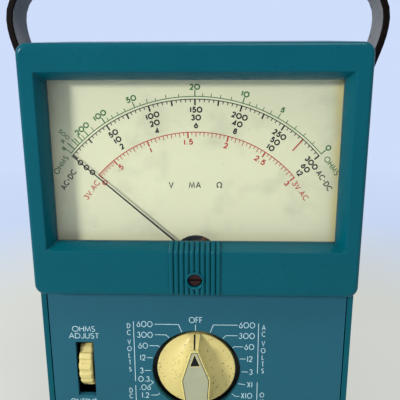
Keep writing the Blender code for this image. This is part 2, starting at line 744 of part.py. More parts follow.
def meter_hood():
    """Moulded frame round the dial, with its reeded strip and boss."""
    outline = rectangle(-HALF_WIDTH, HALF_WIDTH, HOOD_LOW, HOOD_TOP, CASE_CORNER)
    hood = plate("meter_hood", [outline], 0.0, HOOD_BACK)
    round_edges(hood, HOOD_ROUND, lambda x, depth, z: depth < HOOD_ROUND)
    cut(hood, loft("window_cutter", [frame_section(-OVERRUN), frame_section(LENS_SEAT + OVERRUN)]))
    pocket_x = LENS_OPEN_X + LENS_LAP + SEAT_GAP
    pocket = rectangle(-pocket_x, pocket_x, LENS_OPEN_LOW - LENS_LAP - SEAT_GAP,
                       LENS_OPEN_TOP + LENS_LAP + SEAT_GAP)
    cut(hood, plate("lens_pocket", [pocket], LENS_SEAT, HOOD_BACK + OVERRUN))
    cavity_x = LENS_OPEN_X
    low_half = (HOOD_LOW + HOOD_SKIN, LENS_OPEN_LOW - LENS_LAP - HOOD_SKIN)
    high = (LENS_OPEN_TOP + LENS_LAP + HOOD_SKIN, HOOD_TOP - HOOD_SKIN)
    back = HOOD_BACK + OVERRUN
    cavities = [
        block("cavity", (-cavity_x, -HOOD_RIB), (HOOD_SKIN, back), low_half),
        block("cavity", (HOOD_RIB, cavity_x), (HOOD_SKIN, back), low_half),
        block("cavity", (-cavity_x, cavity_x), (HOOD_SKIN, back), high),
    ]
    cut(hood, grouped("hood_cavities", cavities))
    join(hood, reeded_strip(), boss())
    bore = ZERO_HEAD_RADIUS + SEAT_GAP
    counterbore = ZERO_HEAD_RADIUS + ZERO_COLLAR_WIDTH + 2 * SEAT_GAP
    step = HOOD_BACK - ZERO_COLLAR_THICKNESS
    profile = [(0.0, back), (counterbore, back), (counterbore, step), (bore, step),
               (bore, -BOSS_PROUD - OVERRUN), (0.0, -BOSS_PROUD - OVERRUN)]
    cut(hood, turned("boss_bore", profile, 0.0, BOSS_Z, ROUND_SIDES))
    return finish(hood, TEAL_PLASTIC)


def reeded_strip():
    """Raised reeds that run from the lens over the bevel and down the hood's face."""
    slope = hypot(LENS_SEAT, WINDOW_LOW_BEVEL)
    normal_back = -WINDOW_LOW_BEVEL / slope
    normal_up = LENS_SEAT / slope
    start = LENS_SEAT - REED_TROUGH
    start_z = WINDOW_LOW + WINDOW_LOW_BEVEL * start / LENS_SEAT
    stations = (
        (start, start_z, 0.0, 1.0 / normal_up),
        (0.0, WINDOW_LOW, -1.0, (1.0 + normal_back) / normal_up),
        (0.0, HOOD_LOW + REED_TROUGH, -1.0, 0.0),
    )
    half = REED_COUNT * REED_PITCH / 2
    heights = []
    for reed in range(REED_COUNT):
        left = -half + reed * REED_PITCH
        for share, rise in REED_SHARES:
            heights.append((left + REED_PITCH * share, (REED_HEIGHT + REED_TROUGH) * rise - REED_TROUGH))
    heights.append((half, -REED_TROUGH))
    sections = []
    for depth, z, step_back, step_up in stations:
        section = [(x, depth + step_back * height, z + step_up * height) for x, height in heights]
        for x in (half, -half):
            section.append((x, depth - step_back * HOOD_ROUND, z - step_up * HOOD_ROUND))
        sections.append(section)
    return loft("reeded_strip", sections)


def boss():
    """Ring that stands on the reeds round the zero-adjust screw."""
    inner = ZERO_HEAD_RADIUS - SEAT_GAP
    back = HOOD_BACK - SEAT_GAP / 2
    profile = [(BOSS_RADIUS, back), (BOSS_RADIUS, BOSS_ROUND - BOSS_PROUD),
               (BOSS_RADIUS - BOSS_ROUND, -BOSS_PROUD), (inner, -BOSS_PROUD), (inner, back)]
    return turned("zero_boss", profile, 0.0, BOSS_Z, ROUND_SIDES, closed=True)


def zero_screw():
    """Slotted adjuster with a collar behind the boss and an eccentric pin."""
    collar = ZERO_HEAD_RADIUS + ZERO_COLLAR_WIDTH
    step = HOOD_BACK - ZERO_COLLAR_THICKNESS + SEAT_GAP
    back = HOOD_BACK + SEAT_GAP / 3
    profile = [(0.0, back), (collar, back), (collar, step), (ZERO_HEAD_RADIUS, step),
               (ZERO_HEAD_RADIUS, ZERO_HEAD_SINK + BOSS_ROUND),
               (ZERO_HEAD_RADIUS - BOSS_ROUND, ZERO_HEAD_SINK), (0.0, ZERO_HEAD_SINK)]
    screw = turned("zero_screw", profile, 0.0, BOSS_Z, ROUND_SIDES)
    set_origin(screw, 0.0, 0.0, BOSS_Z)
    slot_depth = (ZERO_HEAD_SINK - OVERRUN, ZERO_HEAD_SINK + ZERO_SLOT_WIDTH)
    slot_x = (-ZERO_HEAD_RADIUS - OVERRUN, ZERO_HEAD_RADIUS + OVERRUN)
    slot_z = (BOSS_Z - ZERO_SLOT_WIDTH / 2, BOSS_Z + ZERO_SLOT_WIDTH / 2)
    cut(screw, block("zero_slot", slot_x, slot_depth, slot_z))
    end = LEVER_DEPTH + LEVER_THICKNESS + SEAT_GAP
    join(screw, pin("zero_pin", 0.0, BOSS_Z - ZERO_PIN_OFFSET, ZERO_PIN_RADIUS, back - SEAT_GAP, end))
    return finish(screw, DARK_RED)


def meter_lens():
    """Flat clear window held between hood and panel."""
    x = LENS_OPEN_X + LENS_LAP
    high = (LENS_OPEN_LOW - LENS_LAP, LENS_OPEN_TOP + LENS_LAP)
    lens = block("meter_lens", (-x, x), (LENS_FRONT, HOOD_BACK), high)
    return finish(lens, CLEAR_PLASTIC)


def dial_plate():
    """Scale plate with a round cut-out over the movement."""
    top = DIAL_TOP
    side = acos(DIAL_BELOW_PIVOT / DIAL_NOTCH_RADIUS)
    outline = [(DIAL_X, DIAL_LOW), (DIAL_X, top), (-DIAL_X, top), (-DIAL_X, DIAL_LOW)]
    for step in range(MEDIUM_SIDES + 1):
        turn = (side - pi) + (2 * pi - 2 * side) * step / MEDIUM_SIDES
        outline.append((DIAL_NOTCH_RADIUS * sin(turn), PIVOT_Z + DIAL_NOTCH_RADIUS * cos(turn)))
    hole = DIAL_SCREW_RADIUS + SEAT_GAP
    outlines = [outline]
    for x in (-DIAL_SCREW_X, DIAL_SCREW_X):
        outlines.append(circle(x, PIVOT_Z - DIAL_SCREW_DROP, hole, SMALL_SIDES))
    return finish(plate("dial_plate", outlines, DIAL_FRONT, DIAL_BACK), CREAM_PAINT)


def dial_posts():
    """Bored posts on the chassis plate that carry the dial plate."""
    posts = []
    start = DIAL_BACK + SEAT_GAP
    bore = DIAL_SCREW_RADIUS + SEAT_GAP
    floor = DIAL_FRONT + DIAL_SCREW_LENGTH
    foot = CHASSIS_DEPTH + CHASSIS_THICKNESS / 2
    for x in (-DIAL_SCREW_X, DIAL_SCREW_X):
        profile = [(0.0, foot), (DIAL_POST_RADIUS, foot), (DIAL_POST_RADIUS, start), (bore, start),
                   (bore, floor), (0.0, floor)]
        posts.append(turned("dial_post", profile, x, PIVOT_Z - DIAL_SCREW_DROP, SMALL_SIDES))
    return posts


def dial_screws():
    """Pan-head screws that hold the dial plate."""
    back = DIAL_FRONT - SEAT_GAP
    front = back - DIAL_SCREW_HEAD_HEIGHT
    end = back + DIAL_SCREW_LENGTH
    for name, x in (("dial_screw_left", -DIAL_SCREW_X), ("dial_screw_right", DIAL_SCREW_X)):
        profile = [(0.0, end), (DIAL_SCREW_RADIUS, end), (DIAL_SCREW_RADIUS, back), (DIAL_SCREW_HEAD, back),
                   (DIAL_SCREW_HEAD, front), (0.0, front)]
        finish(turned(name, profile, x, PIVOT_Z - DIAL_SCREW_DROP, SMALL_SIDES), STEEL)


def chassis():
    """Plate behind the meter, with dial posts, battery brackets and the pillars under the front panel."""
    ring = CORE_RADIUS + MOVEMENT_AIR_GAP
    outlines = [
        rectangle(-CHASSIS_X, CHASSIS_X, CHASSIS_LOW, CHASSIS_HIGH),
        circle(0.0, PIVOT_Z, ring + SEAT_GAP, MEDIUM_SIDES),
    ]
    panel = plate("chassis_plate", outlines, CHASSIS_DEPTH, CHASSIS_BACK)
    middle = CHASSIS_DEPTH + CHASSIS_THICKNESS / 2
    posts = dial_posts()
    x = CHASSIS_X - PILLAR_INSET
    for z in (CHASSIS_LOW + PILLAR_INSET, PILLAR_TOP_Z):
        for side in (-x, x):
            posts.append(pin("pillar", side, z, PILLAR_RADIUS, PANEL_BACK + SEAT_GAP, middle))
    join(panel, grouped("chassis_posts", posts + battery_brackets()))
    finish(panel, ALUMINIUM)


def movement_magnet():
    """Field ring, and the core magnet with the two spacers that hold it."""
    ring = CORE_RADIUS + MOVEMENT_AIR_GAP
    back = CHASSIS_DEPTH - SEAT_GAP
    outer = ring + FIELD_RING_WIDTH
    finish(tube("field_ring", 0.0, PIVOT_Z, ring, outer, CORE_FRONT - SEAT_GAP, back, ROUND_SIDES),
           DARK_IRON)
    core = pin("core_magnet", 0.0, PIVOT_Z, CORE_RADIUS, CORE_FRONT, back - SEAT_GAP, ROUND_SIDES)
    depth = (CORE_FRONT + SPACER_WIDTH / 2, back - SPACER_WIDTH / 2)
    near = CORE_RADIUS - SPACER_WIDTH / 2
    far = sqrt(ring * ring - SPACER_WIDTH * SPACER_WIDTH / 4) * cos(pi / ROUND_SIDES) - SEAT_GAP
    spacers = []
    for low, high in ((PIVOT_Z + near, PIVOT_Z + far), (PIVOT_Z - far, PIVOT_Z - near)):
        spacers.append(block("spacer", (-SPACER_WIDTH / 2, SPACER_WIDTH / 2), depth, (low, high)))
    join(core, grouped("core_spacers", spacers))
    finish(core, ZINC)


def coil_ends():
    """Front and back depth of the moving coil."""
    front = CORE_FRONT - COIL_CORE_GAP - COIL_BAR
    back = CHASSIS_DEPTH - 2 * SEAT_GAP + COIL_CORE_GAP + COIL_BAR
    return front, back


def moving_coil():
    """Winding round the core, with a pivot at each end, turned to the left zero."""
    inner = CORE_RADIUS + COIL_CORE_GAP
    outer = inner + COIL_BAR
    front, back = coil_ends()
    high = (PIVOT_Z - COIL_WIDTH / 2, PIVOT_Z + COIL_WIDTH / 2)
    outside = block("moving_coil", (-outer, outer), (front, back), high)
    inside = block("coil_window", (-inner, inner), (front + COIL_BAR, back - COIL_BAR),
                   (PIVOT_Z - COIL_WIDTH, PIVOT_Z + COIL_WIDTH))
    cut(outside, inside)
    radius = COIL_PIVOT_RADIUS
    tip = jewel_depths()[0] + SEAT_GAP
    join(outside, pin("front_pivot", 0.0, PIVOT_Z, radius, tip, front + COIL_BAR / 2))
    join(outside, pin("rear_pivot", 0.0, PIVOT_Z, radius, back - COIL_BAR / 2, back + COIL_PIVOT_LENGTH))
    return finish(turned_to_zero(outside), COPPER_WIRE)


def turned_to_zero(part):
    """Turn a baked copy of a part about the meter's pivot to the left zero, with its origin there."""
    name = part.name
    mesh = baked(part)
    result = add_object(name, mesh)
    set_origin(result, 0.0, 0.0, PIVOT_Z)
    result.rotation_euler = (0.0, REST_TURN, 0.0)
    return result


def jewel_depths():
    """Depth of the inner ends of the front and rear jewel screws."""
    front = POINTER_PLATE_DEPTH - POINTER_PLATE_THICKNESS - SPRING_WIDTH
    rear = coil_ends()[1] + COIL_PIVOT_LENGTH + SEAT_GAP
    return front, rear


def bridges():
    """Front and rear bridges on their legs, and the jewel screws."""
    ring = CORE_RADIUS + MOVEMENT_AIR_GAP
    middle = ring + FIELD_RING_WIDTH / 2
    x = middle + BRIDGE_PILLAR_RADIUS
    half = BRIDGE_WIDTH / 2
    hole = circle(0.0, PIVOT_Z, JEWEL_RADIUS + SEAT_GAP, SMALL_SIDES)
    edge = rectangle(-x, x, PIVOT_Z - half, PIVOT_Z + half)
    front_back = BRIDGE_DEPTH + BRIDGE_THICKNESS
    rear_front = CHASSIS_BACK + REAR_BRIDGE_STANDOFF
    front = plate("front_bridge", [edge, hole], BRIDGE_DEPTH, front_back)
    rear = plate("rear_bridge", [edge, hole], rear_front, rear_front + BRIDGE_THICKNESS)
    front_legs = []
    rear_legs = []
    overlap = BRIDGE_THICKNESS / 2
    front_end = CORE_FRONT - 2 * SEAT_GAP
    for side in (-middle, middle):
        front_legs.append(pin("leg", side, PIVOT_Z, BRIDGE_PILLAR_RADIUS, front_back - overlap, front_end))
        rear_legs.append(pin("leg", side, PIVOT_Z, BRIDGE_PILLAR_RADIUS, CHASSIS_BACK + SEAT_GAP,
                             rear_front + overlap))
    join(front, grouped("front_legs", front_legs))
    join(rear, grouped("rear_legs", rear_legs))
    finish(front, BRASS)
    finish(rear, BRASS)
    inner, outer = jewel_depths()
    finish(pin("front_jewel_screw", 0.0, PIVOT_Z, JEWEL_RADIUS, inner - JEWEL_LENGTH, inner), STEEL)
    finish(pin("rear_jewel_screw", 0.0, PIVOT_Z, JEWEL_RADIUS, outer, outer + JEWEL_LENGTH), STEEL)


def hairsprings():
    """Flat spiral springs before and behind the coil."""
    front_start = POINTER_PLATE_DEPTH - SPRING_WIDTH - SEAT_GAP
    rear_start = coil_ends()[1] + SEAT_GAP
    steps = SPRING_TURNS * SMALL_SIDES
    for name, start in (("front_hairspring", front_start), ("rear_hairspring", rear_start)):
        inside = []
        outside = []
        for step in range(steps + 1):
            share = step / steps
            radius = SPRING_INNER_RADIUS + (SPRING_OUTER_RADIUS - SPRING_INNER_RADIUS) * share
            turn = 2 * pi * SPRING_TURNS * share - pi / 2
            inside.append((radius * cos(turn), PIVOT_Z + radius * sin(turn)))
            wide = radius + SPRING_STRIP
            outside.append((wide * cos(turn), PIVOT_Z + wide * sin(turn)))
        finish(plate(name, [outside + inside[::-1]], start, start + SPRING_WIDTH), BRASS)


def pointer():
    """Needle on a cross-shaped hub plate with balance weights, turned to the left zero."""
    back = POINTER_PLATE_DEPTH + POINTER_PLATE_THICKNESS
    half = POINTER_ARM_WIDTH / 2
    edge = circle(0.0, PIVOT_Z, POINTER_HUB_RADIUS, MEDIUM_SIDES, pi / MEDIUM_SIDES)
    hub = plate("pointer", [edge], POINTER_PLATE_DEPTH, back)
    arm_depths = (POINTER_PLATE_DEPTH + SPRING_STRIP / 2, back - SPRING_STRIP / 2)
    arm_high = (PIVOT_Z - half, PIVOT_Z + half)
    arms = block("arms", (-POINTER_ARM_REACH, POINTER_ARM_REACH), arm_depths, arm_high)
    stem_low = PIVOT_Z - POINTER_ARM_REACH
    stem_high = PIVOT_Z + NEEDLE_ROOT_RADIUS + half
    stem = block("stem", (-half, half), (POINTER_PLATE_DEPTH - SPRING_STRIP, back + SPRING_STRIP),
                 (stem_low, stem_high))
    join(hub, arms, stem, needle(), grouped("balance_weights", balance_weights()))
    hole = COIL_PIVOT_RADIUS + SEAT_GAP
    bore_start = POINTER_PLATE_DEPTH - OVERRUN
    cut(hub, pin("pointer_bore", 0.0, PIVOT_Z, hole, bore_start, back + OVERRUN))
    return finish(turned_to_zero(hub), NEEDLE_BLACK)


def needle_depth():
    """Depth of the needle's middle, between lens and dial."""
    return HOOD_BACK + NEEDLE_LENS_GAP


def needle():
    """Thin blade that rises from the hub plate to the dial and tapers to its tip."""
    front = needle_depth()
    plate_middle = POINTER_PLATE_DEPTH + POINTER_PLATE_THICKNESS / 2
    stations = (
        (NEEDLE_ROOT_RADIUS - NEEDLE_ROOT_WIDTH, plate_middle, NEEDLE_ROOT_WIDTH),
        (NEEDLE_ROOT_RADIUS, plate_middle, NEEDLE_ROOT_WIDTH),
        (NEEDLE_BEND_RADIUS, front, NEEDLE_NECK_WIDTH),
        (NEEDLE_REACH, front, NEEDLE_TIP_WIDTH),
    )
    half = NEEDLE_THICKNESS / 2
    sections = []
    for reach, depth, width in stations:
        z = PIVOT_Z + reach
        sections.append([
            (-width / 2, depth - half, z), (width / 2, depth - half, z),
            (width / 2, depth + half, z), (-width / 2, depth + half, z),
        ])
    return loft("needle", sections)


def balance_weights():
    """Balance weights on the tail and the side arms."""
    middle = POINTER_PLATE_DEPTH + POINTER_PLATE_THICKNESS / 2
    far = POINTER_ARM_REACH + SEAT_GAP
    near = far - WEIGHT_LENGTH
    return [
        pin("weight", 0.0, PIVOT_Z, WEIGHT_RADIUS, -far, -near, axis="X", depth=middle),
        pin("weight", 0.0, PIVOT_Z, WEIGHT_RADIUS, near, far, axis="X", depth=middle),
        pin("weight", 0.0, 0.0, WEIGHT_RADIUS, PIVOT_Z - far, PIVOT_Z - near, axis="Z", depth=middle),
    ]


def zero_lever():
    """Ring on the front jewel with a forked arm for the eccentric pin and a tab for the spring."""
    back = LEVER_DEPTH + LEVER_THICKNESS
    inner = JEWEL_RADIUS + SEAT_GAP
    outer = inner + LEVER_RING_WIDTH
    half = LEVER_ARM_WIDTH / 2
    fork = ZERO_PIN_RADIUS + SEAT_GAP / 2
    low = PIVOT_Z - LEVER_REACH
    fork_top = BOSS_Z - ZERO_PIN_OFFSET + ZERO_PIN_RADIUS + SEAT_GAP + ZERO_PIN_OFFSET / 2
    side = asin(half / outer)
    outline = [(half, low), (fork, low), (fork, fork_top), (-fork, fork_top), (-fork, low), (-half, low)]
    for step in range(MEDIUM_SIDES + 1):
        turn = side - pi + 2 * (pi - side) * step / MEDIUM_SIDES
        outline.append((outer * sin(turn), PIVOT_Z + outer * cos(turn)))
    lever = plate("zero_lever", [outline, circle(0.0, PIVOT_Z, inner, SMALL_SIDES)], LEVER_DEPTH, back)
    set_origin(lever, 0.0, 0.0, PIVOT_Z)
    tab_top = PIVOT_Z - SPRING_OUTER_RADIUS - SPRING_STRIP - SEAT_GAP / 2
    tab_end = POINTER_PLATE_DEPTH - SPRING_STRIP - SEAT_GAP
    tab = block("lever_tab", (-LEVER_TAB_WIDTH / 2, LEVER_TAB_WIDTH / 2),
                (LEVER_DEPTH + LEVER_THICKNESS / 2, tab_end),
                (tab_top - LEVER_TAB_THICKNESS, tab_top))
    join(lever, tab)
    return finish(lever, BRASS)


def coffin_corners(inset=0.0):
    """Corners of the knob bar's coffin outline about the knob's axis, drawn in by an inset."""
    right = (
        (KNOB_TIP_WIDTH / 2, KNOB_TIP_REACH),
        (KNOB_SHOULDER_WIDTH / 2, -KNOB_SHOULDER_DROP),
        (KNOB_WAIST_WIDTH / 2, -KNOB_WAIST_DROP),
        (KNOB_TAIL_WIDTH / 2, -KNOB_TAIL_DROP),
    )
    corners = list(right) + [(-x, z) for x, z in reversed(right)]
    if not inset:
        return corners
    drawn = []
    for step, (x, z) in enumerate(corners):
        before = corners[step - 1]
        after = corners[(step + 1) % len(corners)]
        first = Vector((x - before[0], z - before[1])).normalized()
        second = Vector((after[0] - x, after[1] - z)).normalized()
        inward = Vector((first.y + second.y, -first.x - second.x))
        scale = inset / (1.0 + first.dot(second))
        drawn.append((x - inward.x * scale, z - inward.y * scale))
    return drawn


def coffin_reach(turn):
    """Distance from the knob's axis to the coffin outline in one direction."""
    corners = coffin_corners()
    across, up = cos(turn), sin(turn)
    best = KNOB_TAIL_DROP + KNOB_TIP_REACH
    for step, (x, z) in enumerate(corners):
        after = corners[(step + 1) % len(corners)]
        side_x, side_z = z - after[1], after[0] - x
        toward = side_x * across + side_z * up
        held = side_x * x + side_z * z
        if toward * held > 0.0:
            best = min(best, held / toward)
    return best


def knob_disc_radius():
    """Radius of the knob's round skirt."""
    return KNOB_HOLE_RADIUS - KNOB_EDGE_GAP


def knob_depths():
    """Depth of the knob's bar top, disc face and disc back."""
    face = PANEL_DEPTH + KNOB_FACE_SINK
    return face - KNOB_BAR_HEIGHT, face, face + KNOB_DISC_THICKNESS


def range_knob():
    """Round knob whose coffin-shaped bar flares down to its rim, with a ridge at its tip."""
    top, face, back = knob_depths()
    rim = knob_disc_radius()
    turns = [2 * pi * step / FINE_SIDES for step in range(FINE_SIDES)]
    for x, z in coffin_corners():
        turns.append(atan2(z, x) % (2 * pi))
    turns.sort()
    sections = []
    for fall, spread in KNOB_FLARE_SHARES:
        section = []
        for turn in turns:
            reach = coffin_reach(turn)
            radius = reach + (rim - KNOB_RIM_ROUND - reach) * spread
            section.append((radius * cos(turn), top + KNOB_BAR_HEIGHT * fall, KNOB_Z + radius * sin(turn)))
        sections.append(section)
    for radius, depth in ((rim, face + KNOB_RIM_ROUND), (rim, back)):
        sections.append([(radius * cos(turn), depth, KNOB_Z + radius * sin(turn)) for turn in turns])
    knob = loft("range_knob", sections)
    set_origin(knob, 0.0, 0.0, KNOB_Z)
    join(knob, knob_ridge())
    join(knob, pin("knob_hub", 0.0, KNOB_Z, KNOB_HUB_RADIUS, face + KNOB_RIM_ROUND, back + KNOB_HUB_DROP,
                   MEDIUM_SIDES))
    recess = [(x, KNOB_Z + z) for x, z in coffin_corners(KNOB_CAP_INSET)]
    floor = top + KNOB_CAP_THICKNESS + SEAT_GAP
    cut(knob, plate("cap_recess", [recess], top - OVERRUN, floor))
    cut(knob, pin("shaft_bore", 0.0, KNOB_Z, SHAFT_RADIUS + SEAT_GAP, shaft_front() - SEAT_GAP,
                  back + KNOB_HUB_DROP + OVERRUN, MEDIUM_SIDES))
    knob.rotation_euler = (0.0, -radians(KNOB_SET_ANGLE), 0.0)
    return finish(knob, YELLOW_CREAM)


def knob_ridge():
    """Narrow ridge from the skirt's rim up to the tip of the bar."""
    top, face, back = knob_depths()
    rim = knob_disc_radius() - SEAT_GAP
    low = face + KNOB_RIM_ROUND
    tip_z = KNOB_Z + KNOB_TIP_REACH - KNOB_TIP_WIDTH / 2
    wide = KNOB_RIDGE_RIM_WIDTH / 2
    narrow = KNOB_RIDGE_TOP_WIDTH / 2
    rim_z = KNOB_Z + rim
    rim_section = [(-wide, face - KNOB_RIM_ROUND, rim_z), (wide, face - KNOB_RIM_ROUND, rim_z),
                   (wide, low, rim_z), (-wide, low, rim_z)]
    tip_section = [(-narrow, top + KNOB_RIM_ROUND, tip_z), (narrow, top + KNOB_RIM_ROUND, tip_z),
                   (wide, low, tip_z), (-wide, low, tip_z)]
    return loft("knob_ridge", [rim_section, tip_section])


def knob_cap():
    """Flat inlay in the top of the knob's bar."""
    top = knob_depths()[0]
    outline = [(x, KNOB_Z + z) for x, z in coffin_corners(KNOB_CAP_INSET + SEAT_GAP)]
    cap = plate("knob_cap", [outline], top, top + KNOB_CAP_THICKNESS)
    set_origin(cap, 0.0, 0.0, KNOB_Z)
    cap.rotation_euler = (0.0, -radians(KNOB_SET_ANGLE), 0.0)
    return finish(cap, GREY_CREAM)


def shaft_front():
    """Depth of the selector shaft's front end."""
    return knob_depths()[2] - SHAFT_SOCKET


def selector_shaft():
    """Shaft from the knob through both wafers, with a contact rotor in each."""
    back = WAFER_DEPTH + WAFER_PITCH + WAFER_THICKNESS + SHAFT_TAIL
    profile = [(0.0, shaft_front()), (SHAFT_RADIUS, shaft_front())]
    for front in wafer_fronts():
        end = front + WAFER_THICKNESS
        profile += [(SHAFT_RADIUS, front), (ROTOR_RADIUS, front), (ROTOR_RADIUS, end), (SHAFT_RADIUS, end)]
    profile += [(SHAFT_RADIUS, back), (0.0, back)]
    shaft = turned("selector_shaft", profile, 0.0, KNOB_Z, MEDIUM_SIDES)
    set_origin(shaft, 0.0, 0.0, KNOB_Z)
    return finish(shaft, BRASS)


def well_back():
    """Depth of the back of the switch well's floor."""
    return PANEL_BACK + SEAT_GAP + WELL_DEPTH


def switch_well():
    """Cup behind the knob's hole that carries the switch, with two posts over the index spring."""
    inner = KNOB_HOLE_RADIUS + WELL_RIM_LAP
    outer = inner + WELL_WALL
    hole = SHAFT_RADIUS + BUSHING_WALL + 2 * SEAT_GAP
    front = PANEL_BACK + SEAT_GAP
    back = well_back()
    floor = back - WELL_FLOOR
    profile = [(inner, front), (outer, front), (outer, back), (hole, back), (hole, floor), (inner, floor)]
    well = turned("switch_well", profile, 0.0, KNOB_Z, ROUND_SIDES, closed=True)
    posts = []
    end = INDEX_DEPTH + INDEX_THICKNESS + SEAT_GAP
    half = LEAF_LENGTH / 2 - LEAF_POST_RADIUS
    z = leaf_height() + LEAF_THICKNESS + SEAT_GAP + LEAF_POST_RADIUS
    for x in (-half, half):
        posts.append(pin("leaf_post", x, z, LEAF_POST_RADIUS, floor + WELL_FLOOR / 2, end))
    join(well, grouped("leaf_posts", posts))
    return finish(well, DARK_TEAL)


def leaf_height():
    """Height of the underside of the index spring's leaf."""
    return KNOB_Z + INDEX_RADIUS + SEAT_GAP + 2 * ROLLER_RADIUS - LEAF_THICKNESS / 2


def shaft_bushing():
    """Threaded bushing in the well's floor and its nut."""
    inner = SHAFT_RADIUS + SEAT_GAP
    outer = inner + BUSHING_WALL - SEAT_GAP / 3
    back = well_back()
    start = back - WELL_FLOOR - SEAT_GAP
    bushing = tube("shaft_bushing", 0.0, KNOB_Z, inner, outer, start, start + BUSHING_LENGTH, MEDIUM_SIDES)
    nut_hole = circle(0.0, KNOB_Z, outer - BUSHING_WALL / 2, MEDIUM_SIDES)
    nut_edge = circle(0.0, KNOB_Z, BUSHING_NUT_RADIUS, HEX_SIDES)
    nut = plate("bushing_nut", [nut_edge, nut_hole], back + SEAT_GAP,
                back + SEAT_GAP + BUSHING_NUT_THICKNESS)
    join(bushing, nut)
    return finish(bushing, BRASS)


def index_parts():
    """Lobed wheel on the shaft, and the leaf spring with its roller that makes the clicks."""
    lobes = []
    steps = INDEX_LOBES * LOBE_STEPS
    for step in range(steps):
        turn = pi / 2 + 2 * pi * step / steps
        radius = INDEX_RADIUS - INDEX_LOBE_HEIGHT * (1 - cos(INDEX_LOBES * (turn - pi / 2))) / 2
        lobes.append((radius * cos(turn), KNOB_Z + radius * sin(turn)))
    bore = circle(0.0, KNOB_Z, SHAFT_RADIUS + SEAT_GAP, MEDIUM_SIDES)
    wheel = plate("index_wheel", [lobes, bore], INDEX_DEPTH, INDEX_DEPTH + INDEX_THICKNESS)
    set_origin(wheel, 0.0, 0.0, KNOB_Z)
    finish(wheel, STEEL)
    depths = (INDEX_DEPTH - SEAT_GAP, INDEX_DEPTH + INDEX_THICKNESS + SEAT_GAP)
    roller_z = KNOB_Z + INDEX_RADIUS + SEAT_GAP + ROLLER_RADIUS
    half = LEAF_LENGTH / 2
    leaf = block("index_spring", (-half, half), depths, (leaf_height(), leaf_height() + LEAF_THICKNESS))
    join(leaf, pin("index_roller", 0.0, roller_z, ROLLER_RADIUS, INDEX_DEPTH, INDEX_DEPTH + INDEX_THICKNESS))
    finish(leaf, STEEL)


def wafer_fronts():
    """Front depth of each wafer."""
    return (WAFER_DEPTH, WAFER_DEPTH + WAFER_PITCH)


def wafers():
    """Two switch wafers with their contact clips."""
    tie_hole = TIE_RADIUS + SEAT_GAP
    for name, front in zip(("front_wafer", "rear_wafer"), wafer_fronts()):
        outlines = [
            circle(0.0, KNOB_Z, WAFER_RADIUS, ROUND_SIDES),
            circle(0.0, KNOB_Z, ROTOR_RADIUS + SEAT_GAP, MEDIUM_SIDES),
            circle(-TIE_X, KNOB_Z, tie_hole, SMALL_SIDES),
            circle(TIE_X, KNOB_Z, tie_hole, SMALL_SIDES),
        ]
        wafer = plate(name, outlines, front, front + WAFER_THICKNESS)
        clips = []
        for step in range(CLIP_COUNT):
            turn = 2 * pi * step / CLIP_COUNT
            if abs(sin(turn)) > sin(pi / CLIP_COUNT):
                clips.append(contact_clip(turn, front + CLIP_THICKNESS / 2))
        join(wafer, grouped(name + "_clips", clips))
        finish(wafer, BOARD_BROWN)


def contact_clip(turn, back):
    """One radial contact clip on the front of a wafer."""
    half = CLIP_WIDTH / 2
    near = CLIP_RING - CLIP_LENGTH / 2
    far = CLIP_RING + CLIP_LENGTH / 2
    outline = []
    for reach, side in ((near, -half), (far, -half), (far, half), (near, half)):
        outline.append((reach * cos(turn) - side * sin(turn), KNOB_Z + reach * sin(turn) + side * cos(turn)))
    return plate("clip", [outline], back - CLIP_THICKNESS, back)


def switch_ties():
    """Stepped tie rods that space the wafers from the well."""
    thick = TIE_RADIUS + SEAT_GAP + TIE_SPACER_WALL
    first, second = wafer_fronts()
    head = second + WAFER_THICKNESS + SEAT_GAP
    start = well_back() + SEAT_GAP
    steps = (
        (0.0, start), (thick, start), (thick, first - SEAT_GAP), (TIE_RADIUS, first - SEAT_GAP),
        (TIE_RADIUS, first + WAFER_THICKNESS + SEAT_GAP), (thick, first + WAFER_THICKNESS + SEAT_GAP),
        (thick, second - SEAT_GAP), (TIE_RADIUS, second - SEAT_GAP), (TIE_RADIUS, head),
        (TIE_HEAD_RADIUS, head), (TIE_HEAD_RADIUS, head + TIE_HEAD_HEIGHT), (0.0, head + TIE_HEAD_HEIGHT),
    )
    for name, x in (("switch_tie_left", -TIE_X), ("switch_tie_right", TIE_X)):
        finish(turned(name, steps, x, KNOB_Z, SMALL_SIDES), STEEL)


def thumbwheel():
    """Grooved wheel that stands out of the slot in the panel."""
    half = WHEEL_WIDTH / 2
    bore = circle(WHEEL_DEPTH, KNOB_Z, POT_SHAFT_RADIUS + SEAT_GAP, MEDIUM_SIDES)
    shrink = (
        (WHEEL_X - half, WHEEL_CHAMFER), (WHEEL_X - half + WHEEL_CHAMFER, 0.0),
        (WHEEL_X + half - WHEEL_CHAMFER, 0.0), (WHEEL_X + half, WHEEL_CHAMFER),
    )
    sections = []
    for x, inset in shrink:
        section = []
        for groove in range(WHEEL_GROOVES):
            for share, fall in GROOVE_SHARES:
                turn = 2 * pi * (groove + share) / WHEEL_GROOVES
                radius = WHEEL_RADIUS - inset - WHEEL_GROOVE_DEPTH * fall
                section.append((x, WHEEL_DEPTH + radius * cos(turn), KNOB_Z + radius * sin(turn)))
        sections.append(section)
    wheel = loft("thumbwheel", sections)
    cut(wheel, plate("wheel_bore", [bore], WHEEL_X - half - OVERRUN, WHEEL_X + half + OVERRUN, "X"))
    ohms_origin(wheel)
    return finish(wheel, YELLOW_CREAM)


def ohms_origin(part):
    """Put the origin of an ohms-adjust piece on its shaft's axis."""
    set_origin(part, WHEEL_X, WHEEL_DEPTH, KNOB_Z)


